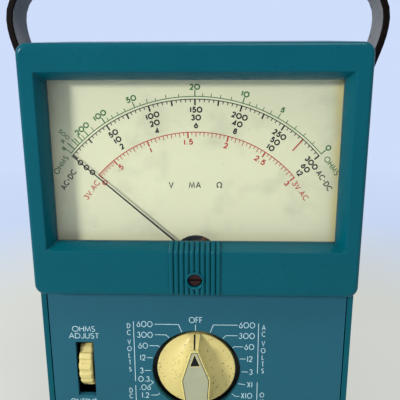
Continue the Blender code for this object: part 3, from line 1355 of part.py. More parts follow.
def potentiometer():
    """Shaft, bracket and body behind the thumbwheel."""
    bracket_near = WHEEL_X + WHEEL_WIDTH / 2 + SLOT_SIDE_GAP + SEAT_GAP * 2
    bracket_far = bracket_near + POT_BRACKET_THICKNESS
    body_near = bracket_far + SEAT_GAP
    shaft_near = WHEEL_X - WHEEL_WIDTH / 2
    shaft = pin("pot_shaft", 0.0, KNOB_Z, POT_SHAFT_RADIUS, shaft_near, body_near + POT_BODY_LENGTH / 2,
                MEDIUM_SIDES, "X", WHEEL_DEPTH)
    ohms_origin(shaft)
    finish(shaft, BRASS)
    bushing_inner = POT_SHAFT_RADIUS + SEAT_GAP
    bushing_outer = bushing_inner + POT_BUSHING_WALL
    bushing_near = body_near - POT_BUSHING_LENGTH
    bore_end = body_near + POT_BODY_LENGTH / 2 + SEAT_GAP
    body_far = body_near + POT_BODY_LENGTH
    profile = [(0.0, bore_end), (bushing_inner, bore_end), (bushing_inner, bushing_near),
               (bushing_outer, bushing_near), (bushing_outer, body_near), (POT_BODY_RADIUS, body_near),
               (POT_BODY_RADIUS, body_far), (0.0, body_far)]
    finish(turned("pot_body", profile, 0.0, KNOB_Z, MEDIUM_SIDES, axis="X", depth=WHEEL_DEPTH), STEEL)
    half = POT_BRACKET_HEIGHT / 2
    front = PANEL_BACK + SEAT_GAP
    back = WHEEL_DEPTH + POT_BRACKET_REACH
    hole = circle(WHEEL_DEPTH, KNOB_Z, bushing_outer + SEAT_GAP, MEDIUM_SIDES)
    edge = rectangle(front, back, KNOB_Z - half, KNOB_Z + half)
    bracket = plate("pot_bracket", [edge, hole], bracket_near, bracket_far, "X")
    foot_x = (bracket_far - POT_BRACKET_THICKNESS / 2, bracket_far + POT_FOOT_LENGTH)
    foot_depth = (front, front + POT_BRACKET_THICKNESS)
    for low in (KNOB_Z - half, KNOB_Z + half - POT_FOOT_HEIGHT):
        join(bracket, block("pot_foot", foot_x, foot_depth, (low, low + POT_FOOT_HEIGHT)))
    finish(bracket, STEEL)


def board_spots():
    """X and Z of the four stand-offs under the circuit board."""
    low = CASE_FLOOR + BOARD_LOW_GAP + STANDOFF_END_INSET
    high = CASE_FLOOR + BOARD_LOW_GAP + BOARD_HEIGHT - STANDOFF_END_INSET
    spots = []
    for inset, z in ((STANDOFF_LOW_INSET, low), (STANDOFF_HIGH_INSET, high)):
        x = board_half() - inset
        spots += [(-x, z), (x, z)]
    return spots


def board_half():
    """Half the circuit board's width."""
    return CAVITY_X - BOARD_SIDE_GAP


def board_front():
    """Depth of the circuit board's front face, behind the selector shaft's tail."""
    return WAFER_DEPTH + WAFER_PITCH + WAFER_THICKNESS + SHAFT_TAIL + BOARD_SHAFT_GAP


def circuit_board():
    """Board behind the switch with its stand-offs, terminal posts, soldered resistors and fuse clips."""
    low = CASE_FLOOR + BOARD_LOW_GAP
    half = board_half()
    front = board_front()
    edge = rectangle(-half, half, low, low + BOARD_HEIGHT)
    board = plate("circuit_board", [edge], front, front + BOARD_THICKNESS)
    middle = front + BOARD_THICKNESS / 2
    fixed = terminal_posts() + fuse_clips()
    for x, z in board_spots():
        fixed.append(pin("standoff", x, z, STANDOFF_RADIUS, PANEL_BACK + SEAT_GAP, middle))
    join(board, grouped("board_fittings", fixed))
    join(board, grouped("resistors", resistors()))
    finish(board, BOARD_BROWN)


def component_seat():
    """Depth at which the board's parts stand."""
    return board_front() + BOARD_THICKNESS + SEAT_GAP


def resistor_spots():
    """Middle X and Z of each resistor."""
    middle = CASE_FLOOR + BOARD_LOW_GAP + BOARD_HEIGHT / 2
    left = -board_half() / 2
    spots = []
    for column in (-1, 1):
        for row in range(RESISTOR_ROWS):
            z = middle + (row - (RESISTOR_ROWS - 1) / 2) * RESISTOR_ROW_PITCH
            spots.append((left + column * RESISTOR_COLUMN_PITCH / 2, z))
    return spots


def terminal_posts():
    """Posts at both ends of each resistor."""
    posts = []
    seat = component_seat()
    for x, z in resistor_spots():
        for side in (-RESISTOR_SPAN / 2, RESISTOR_SPAN / 2):
            start = seat - BOARD_THICKNESS / 2
            posts.append(pin("terminal", x + side, z, TERMINAL_RADIUS, start, seat + TERMINAL_HEIGHT,
                             HEX_SIDES))
    return posts


def resistors():
    """Precision resistors hung between pairs of terminal posts."""
    bodies = []
    depth = component_seat() + TERMINAL_HEIGHT - TERMINAL_RADIUS
    reach = RESISTOR_SPAN / 2
    half = RESISTOR_LENGTH / 2
    shoulder = half - RESISTOR_RADIUS / 2
    lead = RESISTOR_LEAD_RADIUS
    shape = ((0.0, reach), (lead, reach), (lead, half), (RESISTOR_RADIUS, shoulder))
    for x, z in resistor_spots():
        profile = [(radius, x + place) for radius, place in shape]
        profile += [(radius, x - place) for radius, place in reversed(shape)]
        bodies.append(turned("resistor", profile, 0.0, z, HEX_SIDES, axis="X", depth=depth))
    return bodies


def fuse_place():
    """X, depth and Z of the middle of the fuse."""
    low = CASE_FLOOR + BOARD_LOW_GAP
    depth = component_seat() + FUSE_CLIP_THICKNESS + FUSE_LIFT + FUSE_RADIUS
    return board_half() / 2, depth, low + BOARD_HEIGHT / 4


def fuse_clips():
    """Pair of U-shaped clips for the fuse."""
    x, depth, z = fuse_place()
    clips = []
    wall = FUSE_CLIP_THICKNESS
    inner = FUSE_RADIUS + SEAT_GAP
    outer = inner + wall
    seat = component_seat() - BOARD_THICKNESS / 2
    rise = depth + inner / 2
    outline = [
        (seat, z - outer), (rise, z - outer), (rise, z - inner), (component_seat() + wall, z - inner),
        (component_seat() + wall, z + inner), (rise, z + inner), (rise, z + outer), (seat, z + outer),
    ]
    for side in (-1, 1):
        near = x + side * (FUSE_LENGTH - FUSE_CAP_LENGTH) / 2 - FUSE_CLIP_WIDTH / 2
        clips.append(plate("clip", [outline], near, near + FUSE_CLIP_WIDTH, "X"))
    return clips


def capacitor_and_fuse():
    """Film capacitor and glass fuse on the right of the board."""
    seat = component_seat()
    x, depth, z = fuse_place()
    low = z + BOARD_HEIGHT / 4
    x_range = (x - CAPACITOR_WIDTH / 2, x + CAPACITOR_WIDTH / 2)
    high = (low, low + CAPACITOR_HEIGHT)
    capacitor = block("film_capacitor", x_range, (seat, seat + CAPACITOR_DEPTH), high)
    round_edges(capacitor, FUSE_LIFT, lambda across, back, up: back > seat + CAPACITOR_DEPTH / 2, 1)
    finish(capacitor, CAPACITOR_RED)
    half = FUSE_LENGTH / 2
    cap = half - FUSE_CAP_LENGTH
    glass = FUSE_RADIUS - SEAT_GAP
    shape = ((0.0, half), (FUSE_RADIUS, half), (FUSE_RADIUS, cap), (glass, cap))
    profile = [(radius, x + place) for radius, place in shape]
    profile += [(radius, x - place) for radius, place in reversed(shape)]
    finish(turned("fuse", profile, 0.0, z, SMALL_SIDES, axis="X", depth=depth), FUSE_GLASS)


def cell_place():
    """Depth and Z of the round cell's axis."""
    return BATTERY_FRONT + ROUND_CELL_RADIUS, FLAT_BATTERY_TOP + BATTERY_SPACING + ROUND_CELL_RADIUS


def batteries():
    """Round cell and flat battery behind the chassis."""
    cell_depth, cell_z = cell_place()
    half = ROUND_CELL_LENGTH / 2
    nub = ROUND_CELL_RADIUS / 4
    profile = [(0.0, half + ROUND_CELL_NUB), (nub, half + ROUND_CELL_NUB), (nub, half),
               (ROUND_CELL_RADIUS, half), (ROUND_CELL_RADIUS, -half), (0.0, -half)]
    finish(turned("round_cell", profile, 0.0, cell_z, MEDIUM_SIDES, axis="X", depth=cell_depth),
           BATTERY_BLUE)
    width = FLAT_BATTERY_WIDTH / 2
    high = (FLAT_BATTERY_TOP - FLAT_BATTERY_HEIGHT, FLAT_BATTERY_TOP)
    deep = (BATTERY_FRONT, BATTERY_FRONT + FLAT_BATTERY_DEPTH)
    battery = block("flat_battery", (-width, width), deep, high)
    round_edges(battery, CONTACT_THICKNESS * 2, lambda x, depth, z: True, 2)
    finish(battery, BATTERY_BLACK)


def battery_brackets():
    """Contact bracket round the ends of each battery, on the back of the chassis."""
    cell_depth, cell_z = cell_place()
    front = CHASSIS_BACK - CHASSIS_THICKNESS / 2
    wall = CONTACT_THICKNESS
    brackets = []
    flat_middle = CHASSIS_BACK + FLAT_BATTERY_DEPTH / 2
    for z, reach, back in (
        (cell_z, ROUND_CELL_LENGTH / 2 + ROUND_CELL_NUB, cell_depth),
        (FLAT_BATTERY_TOP - FLAT_BATTERY_HEIGHT / 2, FLAT_BATTERY_WIDTH / 2, flat_middle),
    ):
        inner = reach + SEAT_GAP
        outline = [
            (-inner - wall, front), (inner + wall, front), (inner + wall, back), (inner, back),
            (inner, CHASSIS_BACK + wall), (-inner, CHASSIS_BACK + wall), (-inner, back),
            (-inner - wall, back),
        ]
        brackets.append(floor_plate(outline, z - CONTACT_WIDTH / 2, z + CONTACT_WIDTH / 2))
    return brackets


def floor_plate(outline, low, high):
    """A piece of one height from an outline in X and depth."""
    curve = bpy.data.curves.new("bracket", "CURVE")
    curve.dimensions = "2D"
    curve.fill_mode = "BOTH"
    curve.extrude = (high - low) / 2
    spline = curve.splines.new("POLY")
    spline.points.add(len(outline) - 1)
    for point, (across, depth) in zip(spline.points, outline):
        point.co = (across, y_at(depth), 0.0, 1.0)
    spline.use_cyclic_u = True
    part = add_object("bracket", curve)
    part.location.z = (low + high) / 2
    return add_object("bracket", baked(part))


def jacks():
    """Four test jacks with their nuts."""
    front = PANEL_DEPTH - SEAT_GAP - JACK_FLANGE_THICKNESS
    seat = PANEL_DEPTH - SEAT_GAP
    end = front + JACK_LENGTH
    outer = JACK_BORE_RADIUS + JACK_SLEEVE_WALL
    sleeve_back = end + JACK_SLEEVE_OVERHANG
    floor = sleeve_back - JACK_SLEEVE_WALL
    tail = sleeve_back + JACK_TAIL_LENGTH
    lip = JACK_FLANGE_THICKNESS / 4
    nut_front = PANEL_BACK + SEAT_GAP
    for name, x, z in JACK_SPOTS:
        profile = [
            (0.0, floor), (JACK_BORE_RADIUS, floor), (JACK_BORE_RADIUS, front),
            (JACK_FLANGE_RADIUS - lip, front), (JACK_FLANGE_RADIUS, front + lip),
            (JACK_FLANGE_RADIUS, seat), (JACK_BODY_RADIUS, seat),
            (JACK_BODY_RADIUS, end), (outer, end), (outer, sleeve_back), (JACK_TAIL_RADIUS, sleeve_back),
            (JACK_TAIL_RADIUS, tail), (0.0, tail),
        ]
        finish(turned(name, profile, x, z, MEDIUM_SIDES), BLACK_PLASTIC)
        hole = circle(x, z, JACK_BODY_RADIUS + SEAT_GAP, MEDIUM_SIDES)
        edge = circle(x, z, JACK_NUT_RADIUS, HEX_SIDES)
        finish(plate(name + "_nut", [edge, hole], nut_front, nut_front + JACK_NUT_THICKNESS), ZINC)


def corner_names(first, second):
    """Names of four pieces at the corners, in the order of their places."""
    names = []
    for row in (first, second):
        names += [row + "_left", row + "_right"]
    return names


def case_screws():
    """Slotted screws that hold the rear case to the front panel's posts."""
    end = CAVITY_DEPTH - SEAT_GAP
    head_back = CASE_DEPTH - SEAT_GAP
    head_front = head_back - CASE_SCREW_HEAD_HEIGHT
    tip = end - CASE_SCREW_GRIP
    for name, (x, z) in zip(corner_names("case_screw_low", "case_screw_high"), post_spots()):
        profile = [(0.0, tip), (CASE_SCREW_RADIUS, tip), (CASE_SCREW_RADIUS, head_front),
                   (CASE_SCREW_HEAD, head_front), (CASE_SCREW_HEAD, head_back), (0.0, head_back)]
        screw = turned(name, profile, x, z, SMALL_SIDES)
        reach = CASE_SCREW_HEAD + OVERRUN
        deep = (head_back - SCREW_SLOT_DEPTH, head_back + OVERRUN)
        high = (z - SCREW_SLOT_WIDTH / 2, z + SCREW_SLOT_WIDTH / 2)
        cut(screw, block(name + "_slot", (x - reach, x + reach), deep, high))
        finish(screw, STEEL)


def base_feet():
    """Rubber feet with stems through the case's floor."""
    top = CASE_LIFT - SEAT_GAP
    stem_top = CASE_FLOOR + FOOT_STEM_GRIP
    for name, (x, depth) in zip(corner_names("foot_front", "foot_back"), foot_spots()):
        profile = [(0.0, stem_top), (FOOT_STEM_RADIUS, stem_top), (FOOT_STEM_RADIUS, top),
                   (FOOT_RADIUS, top), (FOOT_RADIUS - FOOT_TAPER, 0.0), (0.0, 0.0)]
        finish(turned(name, profile, x, 0.0, MEDIUM_SIDES, axis="Z", depth=depth), RUBBER_BLACK)


def strap_path():
    """Inner points of the right half of the strap, from its lower end to the middle of its crown."""
    x = HALF_WIDTH + STRAP_SIDE_GAP
    start = STRAP_PIVOT_Z - STRAP_TAB_DROP
    straight = STRAP_PIVOT_Z + STRAP_STRAIGHT
    crown_z = HOOD_TOP + STRAP_ARCH
    arc_z = crown_z - STRAP_CROWN - STRAP_TOP_RADIUS
    bulge_x = x + STRAP_BULGE
    rise = arc_z - straight
    points = [(x, start)]
    ends = (x, straight), (bulge_x, arc_z)
    handles = [value * rise for value in STRAP_HANDLE_SHARES]
    for step in range(STRAP_CURVE_STEPS + 1):
        share = step / STRAP_CURVE_STEPS
        back = 1.0 - share
        first = back ** 3
        second = 3 * back * back * share
        third = 3 * back * share * share
        fourth = share ** 3
        across = first * ends[0][0] + second * ends[0][0] + third * ends[1][0] + fourth * ends[1][0]
        up = first * ends[0][1] + second * (ends[0][1] + handles[0])
        up += third * (ends[1][1] - handles[1]) + fourth * ends[1][1]
        points.append((across, up))
    centre_x = bulge_x - STRAP_TOP_RADIUS
    for step in range(1, STRAP_ARC_STEPS + 1):
        turn = pi / 2 * step / STRAP_ARC_STEPS
        points.append((centre_x + STRAP_TOP_RADIUS * cos(turn), arc_z + STRAP_TOP_RADIUS * sin(turn)))
    for step in range(1, STRAP_CROWN_STEPS + 1):
        share = step / STRAP_CROWN_STEPS
        lift = STRAP_CROWN * (1.0 - cos(pi * share)) / 2
        points.append((centre_x * (1.0 - share), crown_z - STRAP_CROWN + lift))
    return points


def carry_strap():
    """Stiff moulded strap hung on a stud at each side."""
    right = strap_path()
    path = [(-x, z) for x, z in right] + right[-2::-1]
    outer = []
    for step, (x, z) in enumerate(path):
        before = path[max(step - 1, 0)]
        after = path[min(step + 1, len(path) - 1)]
        along = Vector((after[0] - before[0], after[1] - before[1])).normalized()
        outer.append((x - along.y * STRAP_THICKNESS, z + along.x * STRAP_THICKNESS))
    half = STRAP_WIDTH / 2
    strap = plate("carry_strap", [path + outer[::-1]], STRAP_DEPTH - half, STRAP_DEPTH + half)
    low = STRAP_PIVOT_Z - STRAP_TAB_DROP - OVERRUN
    high = low + OVERRUN + STRAP_END_RADIUS
    reach = HALF_WIDTH + STRAP_SIDE_GAP + STRAP_THICKNESS + OVERRUN
    corners = []
    for side in (-1, 1):
        start, end = sorted((side * (HALF_WIDTH + STRAP_SIDE_GAP - OVERRUN), side * reach))
        for way in (-1, 1):
            beyond = STRAP_DEPTH + way * (half + OVERRUN)
            outline = [(beyond, low), (beyond, high)]
            for step in range(CORNER_STEPS + 2):
                turn = pi / 2 * step / (CORNER_STEPS + 1)
                corner_depth = half - STRAP_END_RADIUS * (1 - cos(turn))
                outline.append((STRAP_DEPTH + way * corner_depth, high - STRAP_END_RADIUS * sin(turn)))
            outline.append((STRAP_DEPTH + way * (half - STRAP_END_RADIUS), low))
            corners.append(plate("strap_corner", [outline], start, end, "X"))
    corners.append(pin("strap_bore", 0.0, STRAP_PIVOT_Z, STUD_RADIUS + SEAT_GAP, -reach, reach,
                       MEDIUM_SIDES, "X", STRAP_DEPTH))
    set_origin(strap, 0.0, STRAP_DEPTH, STRAP_PIVOT_Z)
    cut(strap, grouped("strap_cutter", corners))
    return finish(strap, STRAP_GREY)


def strap_rivets():
    """Rivets through strap and case wall."""
    strap_face = HALF_WIDTH + STRAP_SIDE_GAP + STRAP_THICKNESS + SEAT_GAP
    head_face = strap_face + STUD_HEAD_THICKNESS
    inner_face = CAVITY_X - SEAT_GAP
    tip = inner_face - STUD_INNER_THICKNESS
    round_off = STUD_HEAD_THICKNESS / 3
    shape = (
        (0.0, tip), (STUD_INNER_RADIUS, tip), (STUD_INNER_RADIUS, inner_face), (STUD_RADIUS, inner_face),
        (STUD_RADIUS, strap_face), (STUD_HEAD_RADIUS, strap_face), (STUD_HEAD_RADIUS, head_face - round_off),
        (STUD_HEAD_RADIUS - round_off, head_face), (0.0, head_face),
    )
    for name, side in (("strap_rivet_left", -1), ("strap_rivet_right", 1)):
        profile = [(radius, side * place) for radius, place in shape]
        rivet = turned(name, profile, 0.0, STRAP_PIVOT_Z, MEDIUM_SIDES, axis="X", depth=STRAP_DEPTH)
        finish(rivet, STEEL)


def main():
    """Build every piece."""
    clear_scene()
    rear_case()
    front_panel()
    meter_hood()
    meter_lens()
    dial_plate()
    dial_screws()
    chassis()
    movement_magnet()
    moving_coil()
    bridges()
    hairsprings()
    pointer()
    zero_screw()
    zero_lever()
    range_knob()
    knob_cap()
    selector_shaft()
    switch_well()
    shaft_bushing()
    index_parts()
    wafers()
    switch_ties()
    thumbwheel()
    potentiometer()
    circuit_board()
    capacitor_and_fuse()
    batteries()
    jacks()
    case_screws()
    base_feet()
    carry_strap()
    strap_rivets()


main()
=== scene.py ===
"""Detailed look of the analog multimeter over the part's own frame."""

import json
from math import atan2, cos, pi, radians, sin

import bmesh
import bpy
from bpy.props import FloatProperty, FloatVectorProperty, IntProperty, PointerProperty
from bpy.types import Operator, Panel, PropertyGroup
from mathutils import Matrix, Vector

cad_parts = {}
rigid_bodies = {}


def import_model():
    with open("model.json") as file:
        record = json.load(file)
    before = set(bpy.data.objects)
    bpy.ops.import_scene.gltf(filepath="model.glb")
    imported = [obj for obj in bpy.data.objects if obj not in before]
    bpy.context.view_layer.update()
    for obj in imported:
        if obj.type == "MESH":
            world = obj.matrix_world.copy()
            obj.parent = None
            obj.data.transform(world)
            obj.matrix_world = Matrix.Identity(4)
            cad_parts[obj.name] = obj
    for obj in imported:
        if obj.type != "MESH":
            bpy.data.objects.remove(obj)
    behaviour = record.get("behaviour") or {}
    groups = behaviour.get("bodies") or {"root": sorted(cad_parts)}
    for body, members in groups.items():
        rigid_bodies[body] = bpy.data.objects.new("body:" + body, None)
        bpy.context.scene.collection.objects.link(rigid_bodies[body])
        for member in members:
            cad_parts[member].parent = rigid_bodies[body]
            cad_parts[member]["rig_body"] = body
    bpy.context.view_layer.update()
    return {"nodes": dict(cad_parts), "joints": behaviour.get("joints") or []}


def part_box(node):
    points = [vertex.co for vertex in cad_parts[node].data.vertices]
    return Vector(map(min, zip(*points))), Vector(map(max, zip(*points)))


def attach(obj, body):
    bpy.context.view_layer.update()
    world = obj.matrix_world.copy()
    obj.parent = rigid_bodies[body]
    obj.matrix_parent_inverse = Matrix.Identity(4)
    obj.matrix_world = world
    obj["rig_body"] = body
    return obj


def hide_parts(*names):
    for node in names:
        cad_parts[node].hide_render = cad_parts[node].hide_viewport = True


bl_info = {
    "name": "Analog Multimeter Scene",
    "version": (1, 0, 0),
    "blender": (4, 5, 0),
    "location": "View3D > Sidebar > Multimeter",
    "description": "Builds the detailed look of an analog multimeter with its stage and camera",
    "category": "Object",
}

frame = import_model()

# Places are in millimetres: across, behind the hood's face, and above the needle's pivot.
MM = 0.001
BOSS_PROUD = 1.0
JOINTS = {joint["name"]: joint for joint in frame["joints"]}
FACE_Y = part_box("meter_hood")[0].y + BOSS_PROUD * MM
PIVOT_Z = JOINTS["pointer_swing"]["pos_m"][2]


def at(x, depth, z):
    """A place in the scene from millimetres across, behind the hood's face and above the pivot."""
    return Vector((x * MM, FACE_Y + depth * MM, PIVOT_Z + z * MM))


def colour(title, about, default):
    """A colour that a user can change."""
    return FloatVectorProperty(name=title, description=about, subtype="COLOR", size=3, min=0.0, max=1.0,
                               default=default)


def length(title, about, default):
    """A length that a user can change."""
    return FloatProperty(name=title, description=about, subtype="DISTANCE", unit="LENGTH", min=0.0,
                         precision=5, default=default)


class MultimeterColours(PropertyGroup):
    """Colours of the plastics, the paint and the printing."""

    hood: colour("Hood", "Glossy teal plastic of the hood and case", (0.000, 0.074, 0.098))
    panel: colour("Panel", "Matt teal plastic of the front panel", (0.009, 0.088, 0.126))
    knob: colour("Knob", "Yellow-cream plastic of the range knob and thumbwheel", (0.610, 0.510, 0.190))
    inlay: colour("Inlay", "Grey-cream inlay in the knob's bar", (0.340, 0.345, 0.225))
    dial: colour("Dial", "Cream paint of the dial", (0.730, 0.685, 0.450))
    dial_stain: colour("Dial stain", "Yellowed paint at the dial's edges", (0.700, 0.560, 0.180))
    black_ink: colour("Black ink", "Black printing on the dial and knob", (0.006, 0.006, 0.006))
    red_ink: colour("Red ink", "Red printing on the dial", (0.460, 0.028, 0.014))
    green_ink: colour("Green ink", "Green printing on the dial", (0.022, 0.140, 0.032))
    panel_ink: colour("Panel ink", "Pale lettering on the front panel", (0.460, 0.640, 0.690))
    # Painted light: the strap's inner face takes this lighter grey for the sky's light falling on it.
    strap: colour("Strap", "Grey plastic of the carry strap", (0.190, 0.188, 0.192))
    # Also used for the painted shade laid over the groove round the knob's inlay.
    strap_edge: colour("Strap edge", "Dark edge of the carry strap", (0.004, 0.002, 0.0015))
    adjuster: colour("Adjuster", "Dark red plastic of the zero screw", (0.022, 0.0030, 0.0020))
    backdrop: colour("Backdrop", "Pale blue behind the object", (0.620, 0.730, 0.960))
    floor: colour("Floor", "Pale floor under the object", (0.735, 0.755, 0.700))


class MultimeterSizes(PropertyGroup):
    """Sizes of the drawn details."""

    edge_round: length("Edge rounding", "Rounding of the hood's front edges", 0.0020)
    reed_height: length("Reed height", "How far the reeds stand out of the hood", 0.0008)
    ink_height: length("Ink height", "How far the printing stands off its surface", 0.00003)
    label_height: length("Label height", "Height of the panel's capitals", 0.0027)
    digit_height: length("Digit height", "Height of the dial's figures", 0.0020)
    arc_steps: IntProperty(name="Arc steps", description="Straight parts in each printed arc", default=120,
                           min=24)


class MultimeterStage(PropertyGroup):
    """Camera and lights."""

    focal_length: FloatProperty(name="Focal length", description="Camera lens in millimetres",
                                default=52.292, min=10.0)
    key_power: FloatProperty(name="Key power", description="Power of the upper left light", default=14.0,
                             min=0.0, unit="POWER")
    top_power: FloatProperty(name="Top power", description="Power of the overhead light", default=5.5,
                             min=0.0, unit="POWER")
    sky_strength: FloatProperty(name="Sky strength", description="Strength of the even light", default=0.36,
                                min=0.0)


WELD_REACH = 0.000001
FLAT_ANGLE = 0.5


def link_material(piece, material):
    """Give a piece one material only."""
    piece.data.materials.clear()
    piece.data.materials.append(material)
    return piece


def tinted(value, share):
    """A colour made lighter or darker by a share, as RGBA."""
    return [min(1.0, channel * share) for channel in value] + [1.0]


def added(nodes, kind, **values):
    """A new shader node with values on the sockets named."""
    node = nodes.new("ShaderNode" + kind)
    for name, value in values.items():
        node.inputs[name.replace("_", " ")].default_value = value
    return node


def noise(nodes, links, scale, detail=2.0):
    """Uneven values spread over the piece itself."""
    place = nodes.new("ShaderNodeTexCoord")
    texture = added(nodes, "TexNoise", Scale=scale, Detail=detail)
    links.new(place.outputs["Object"], texture.inputs["Vector"])
    return texture.outputs["Fac"]


def mixed(nodes, links, share, first, second):
    """A shader that goes from the first to the second with a share."""
    mix = nodes.new("ShaderNodeMixShader")
    for socket, source in enumerate((share, first, second)):
        links.new(source, mix.inputs[socket])
    return mix.outputs["Shader"]


# Heights and reaches are in millimetres, tones are shares of the base colour.
GLOSS_SPREAD = 0.08
BUMP_HEIGHT = 0.05
SPECK_GRAINS = 3.0
SPOT_EDGE = 0.05
SPOT_TONE = 0.35
# Lighter edges, partly worn plastic and partly painted highlight: reach of the bevel test, its bend range,
# and the light tone.
EDGE_REACH = 0.5
EDGE_BEND = (0.015, 0.12)
EDGE_WEAR_AND_HIGHLIGHT_TONE = 1.9
# Painted shade in hollows: reach of the ambient occlusion, the part of its range that darkens, and the dark
# tone.
HOLLOW_SHADE_REACH = 1.5
HOLLOW_SHADE_RANGE = (0.85, 0.35)
HOLLOW_SHADE_TONE = 0.12


def surface(name, base, rough, metal=0.0, grain=0.15, grain_size=0.4, mottle=0.10, patch=14.0, edge_wear_and_highlight=0.0,
            spots=0.0, spot_colour=None, shine=0.5, spot_level=0.66, hollow_shade=0.0):
    """A procedural material with grain, uneven colour and gloss, edges lightened as wear and as painted
    highlight, specks, and painted shade in hollows.

    Grain size and patch are in millimetres.
    """
    material = bpy.data.materials.new(name)
    material.use_nodes = True
    nodes, links = material.node_tree.nodes, material.node_tree.links
    shader = nodes["Principled BSDF"]
    broad = noise(nodes, links, 1.0 / (patch * MM), 4.0)
    tone = nodes.new("ShaderNodeMix")
    tone.data_type = "RGBA"
    tone.inputs["A"].default_value = tinted(base, 1.0 - mottle)
    tone.inputs["B"].default_value = tinted(base, 1.0 + mottle)
    links.new(broad, tone.inputs["Factor"])
    shown = tone.outputs["Result"]
    if spots:
        speck = noise(nodes, links, 1.0 / (grain_size * SPECK_GRAINS * MM))
        spot = spot_colour or tinted(base, SPOT_TONE)
        shown = laid_over(nodes, links, shown, speck, spot_level, spot_level + SPOT_EDGE, spots, spot)
    # Lighten convex and concave edges: partly worn plastic, partly painted highlight.
    if edge_wear_and_highlight:
        worn_and_lit = tinted(base, EDGE_WEAR_AND_HIGHLIGHT_TONE)
        shown = laid_over(nodes, links, shown, edge_mask(nodes, links), *EDGE_BEND, edge_wear_and_highlight, worn_and_lit)
    # Painted shade: darken the colour in hollows, grooves and corners that ambient occlusion finds.
    if hollow_shade:
        occlusion = added(nodes, "AmbientOcclusion", Distance=HOLLOW_SHADE_REACH * MM)
        occlusion.samples = 4
        shade_colour = tinted(base, HOLLOW_SHADE_TONE)
        shown = laid_over(nodes, links, shown, occlusion.outputs["AO"], *HOLLOW_SHADE_RANGE, hollow_shade, shade_colour)
    links.new(shown, shader.inputs["Base Color"])
    least, most = max(0.02, rough - GLOSS_SPREAD), min(1.0, rough + GLOSS_SPREAD)
    gloss = added(nodes, "MapRange", To_Min=least, To_Max=most)
    links.new(broad, gloss.inputs["Value"])
    links.new(gloss.outputs["Result"], shader.inputs["Roughness"])
    bump = added(nodes, "Bump", Strength=grain, Distance=BUMP_HEIGHT * MM)
    links.new(noise(nodes, links, 1.0 / (grain_size * MM)), bump.inputs["Height"])
    links.new(bump.outputs["Normal"], shader.inputs["Normal"])
    shader.inputs["Metallic"].default_value = metal
    shader.inputs["Specular IOR Level"].default_value = shine
    return material


def edge_mask(nodes, links):
    """How far the surface bends within a short reach, for edges lightened as wear and as painted highlight.
    """
    rounded = added(nodes, "Bevel", Radius=EDGE_REACH * MM)
    rounded.samples = 4
    plain = nodes.new("ShaderNodeNewGeometry")
    agree = nodes.new("ShaderNodeVectorMath")
    agree.operation = "DOT_PRODUCT"
    links.new(rounded.outputs["Normal"], agree.inputs[0])
    links.new(plain.outputs["True Normal"], agree.inputs[1])
    bent = nodes.new("ShaderNodeMath")
    bent.operation = "SUBTRACT"
    bent.inputs[0].default_value = 1.0
    links.new(agree.outputs["Value"], bent.inputs[1])
    return bent.outputs["Value"]


def laid_over(nodes, links, under, mask, start, end, amount, over):
    """A second colour laid over the first where a mask goes from start to end."""
    span = added(nodes, "MapRange", From_Min=start, From_Max=end, To_Max=amount)
    links.new(mask, span.inputs["Value"])
    mix = nodes.new("ShaderNodeMix")
    mix.data_type = "RGBA"
    links.new(span.outputs["Result"], mix.inputs["Factor"])
    links.new(under, mix.inputs["A"])
    mix.inputs["B"].default_value = over
    return mix.outputs["Result"]


def between(ends, share):
    """The value at a share of the way between two ends."""
    return ends[0] + (ends[1] - ends[0]) * share


def even_normals(piece):
    """Weight a piece's normals by face, so that flat faces shade flat."""
    normals = piece.modifiers.new("even_normals", "WEIGHTED_NORMAL")
    normals.keep_sharp = True
    normals.weight = 100


def finished_piece(name, form, material, body, smooth=40.0, even=False):
    """A piece from mesh data that rides on a CAD body, shaded smooth up to an angle."""
    bmesh.ops.remove_doubles(form, verts=form.verts, dist=WELD_REACH)
    bmesh.ops.recalc_face_normals(form, faces=form.faces)
    for edge in form.edges:
        edge.smooth = len(edge.link_faces) == 2 and edge.calc_face_angle() < radians(smooth)
    for face in form.faces:
        face.smooth = True
    mesh = bpy.data.meshes.new(name)
    form.to_mesh(mesh)
    form.free()
    piece = bpy.data.objects.new(name, mesh)
    bpy.context.scene.collection.objects.link(piece)
    link_material(piece, material)
    if even:
        even_normals(piece)
    if body:
        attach(piece, body)
    return piece


def softened(node, material, width, segments=3, angle=35.0):
    """A copy of a CAD node with rounded edges, shown in the node's place."""
    source = frame["nodes"][node]
    form = bmesh.new()
    form.from_mesh(source.data)
    bmesh.ops.remove_doubles(form, verts=form.verts, dist=WELD_REACH)
    bmesh.ops.dissolve_limit(form, angle_limit=radians(FLAT_ANGLE), verts=form.verts, edges=form.edges)
    paired = [edge for edge in form.edges if len(edge.link_faces) == 2]
    sharp = [edge for edge in paired if edge.calc_face_angle() > radians(angle)]
    bmesh.ops.bevel(form, geom=sharp, offset=width, segments=segments, profile=0.5, affect="EDGES",
                    clamp_overlap=True)
    piece = finished_piece(node + "_fine", form, material, source["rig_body"], even=True)
    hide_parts(node)
    return piece


def tube_between(form, rings, cap=False):
    """Skin a list of closed rings of places, each with the same count."""
    made = [[form.verts.new(place) for place in ring] for ring in rings]
    count = len(made[0])
    for near, far in zip(made, made[1:]):
        for step in range(count):
            follow = (step + 1) % count
            form.faces.new((near[step], near[follow], far[follow], far[step]))
    if cap:
        form.faces.new(made[0][::-1])
        form.faces.new(made[-1])


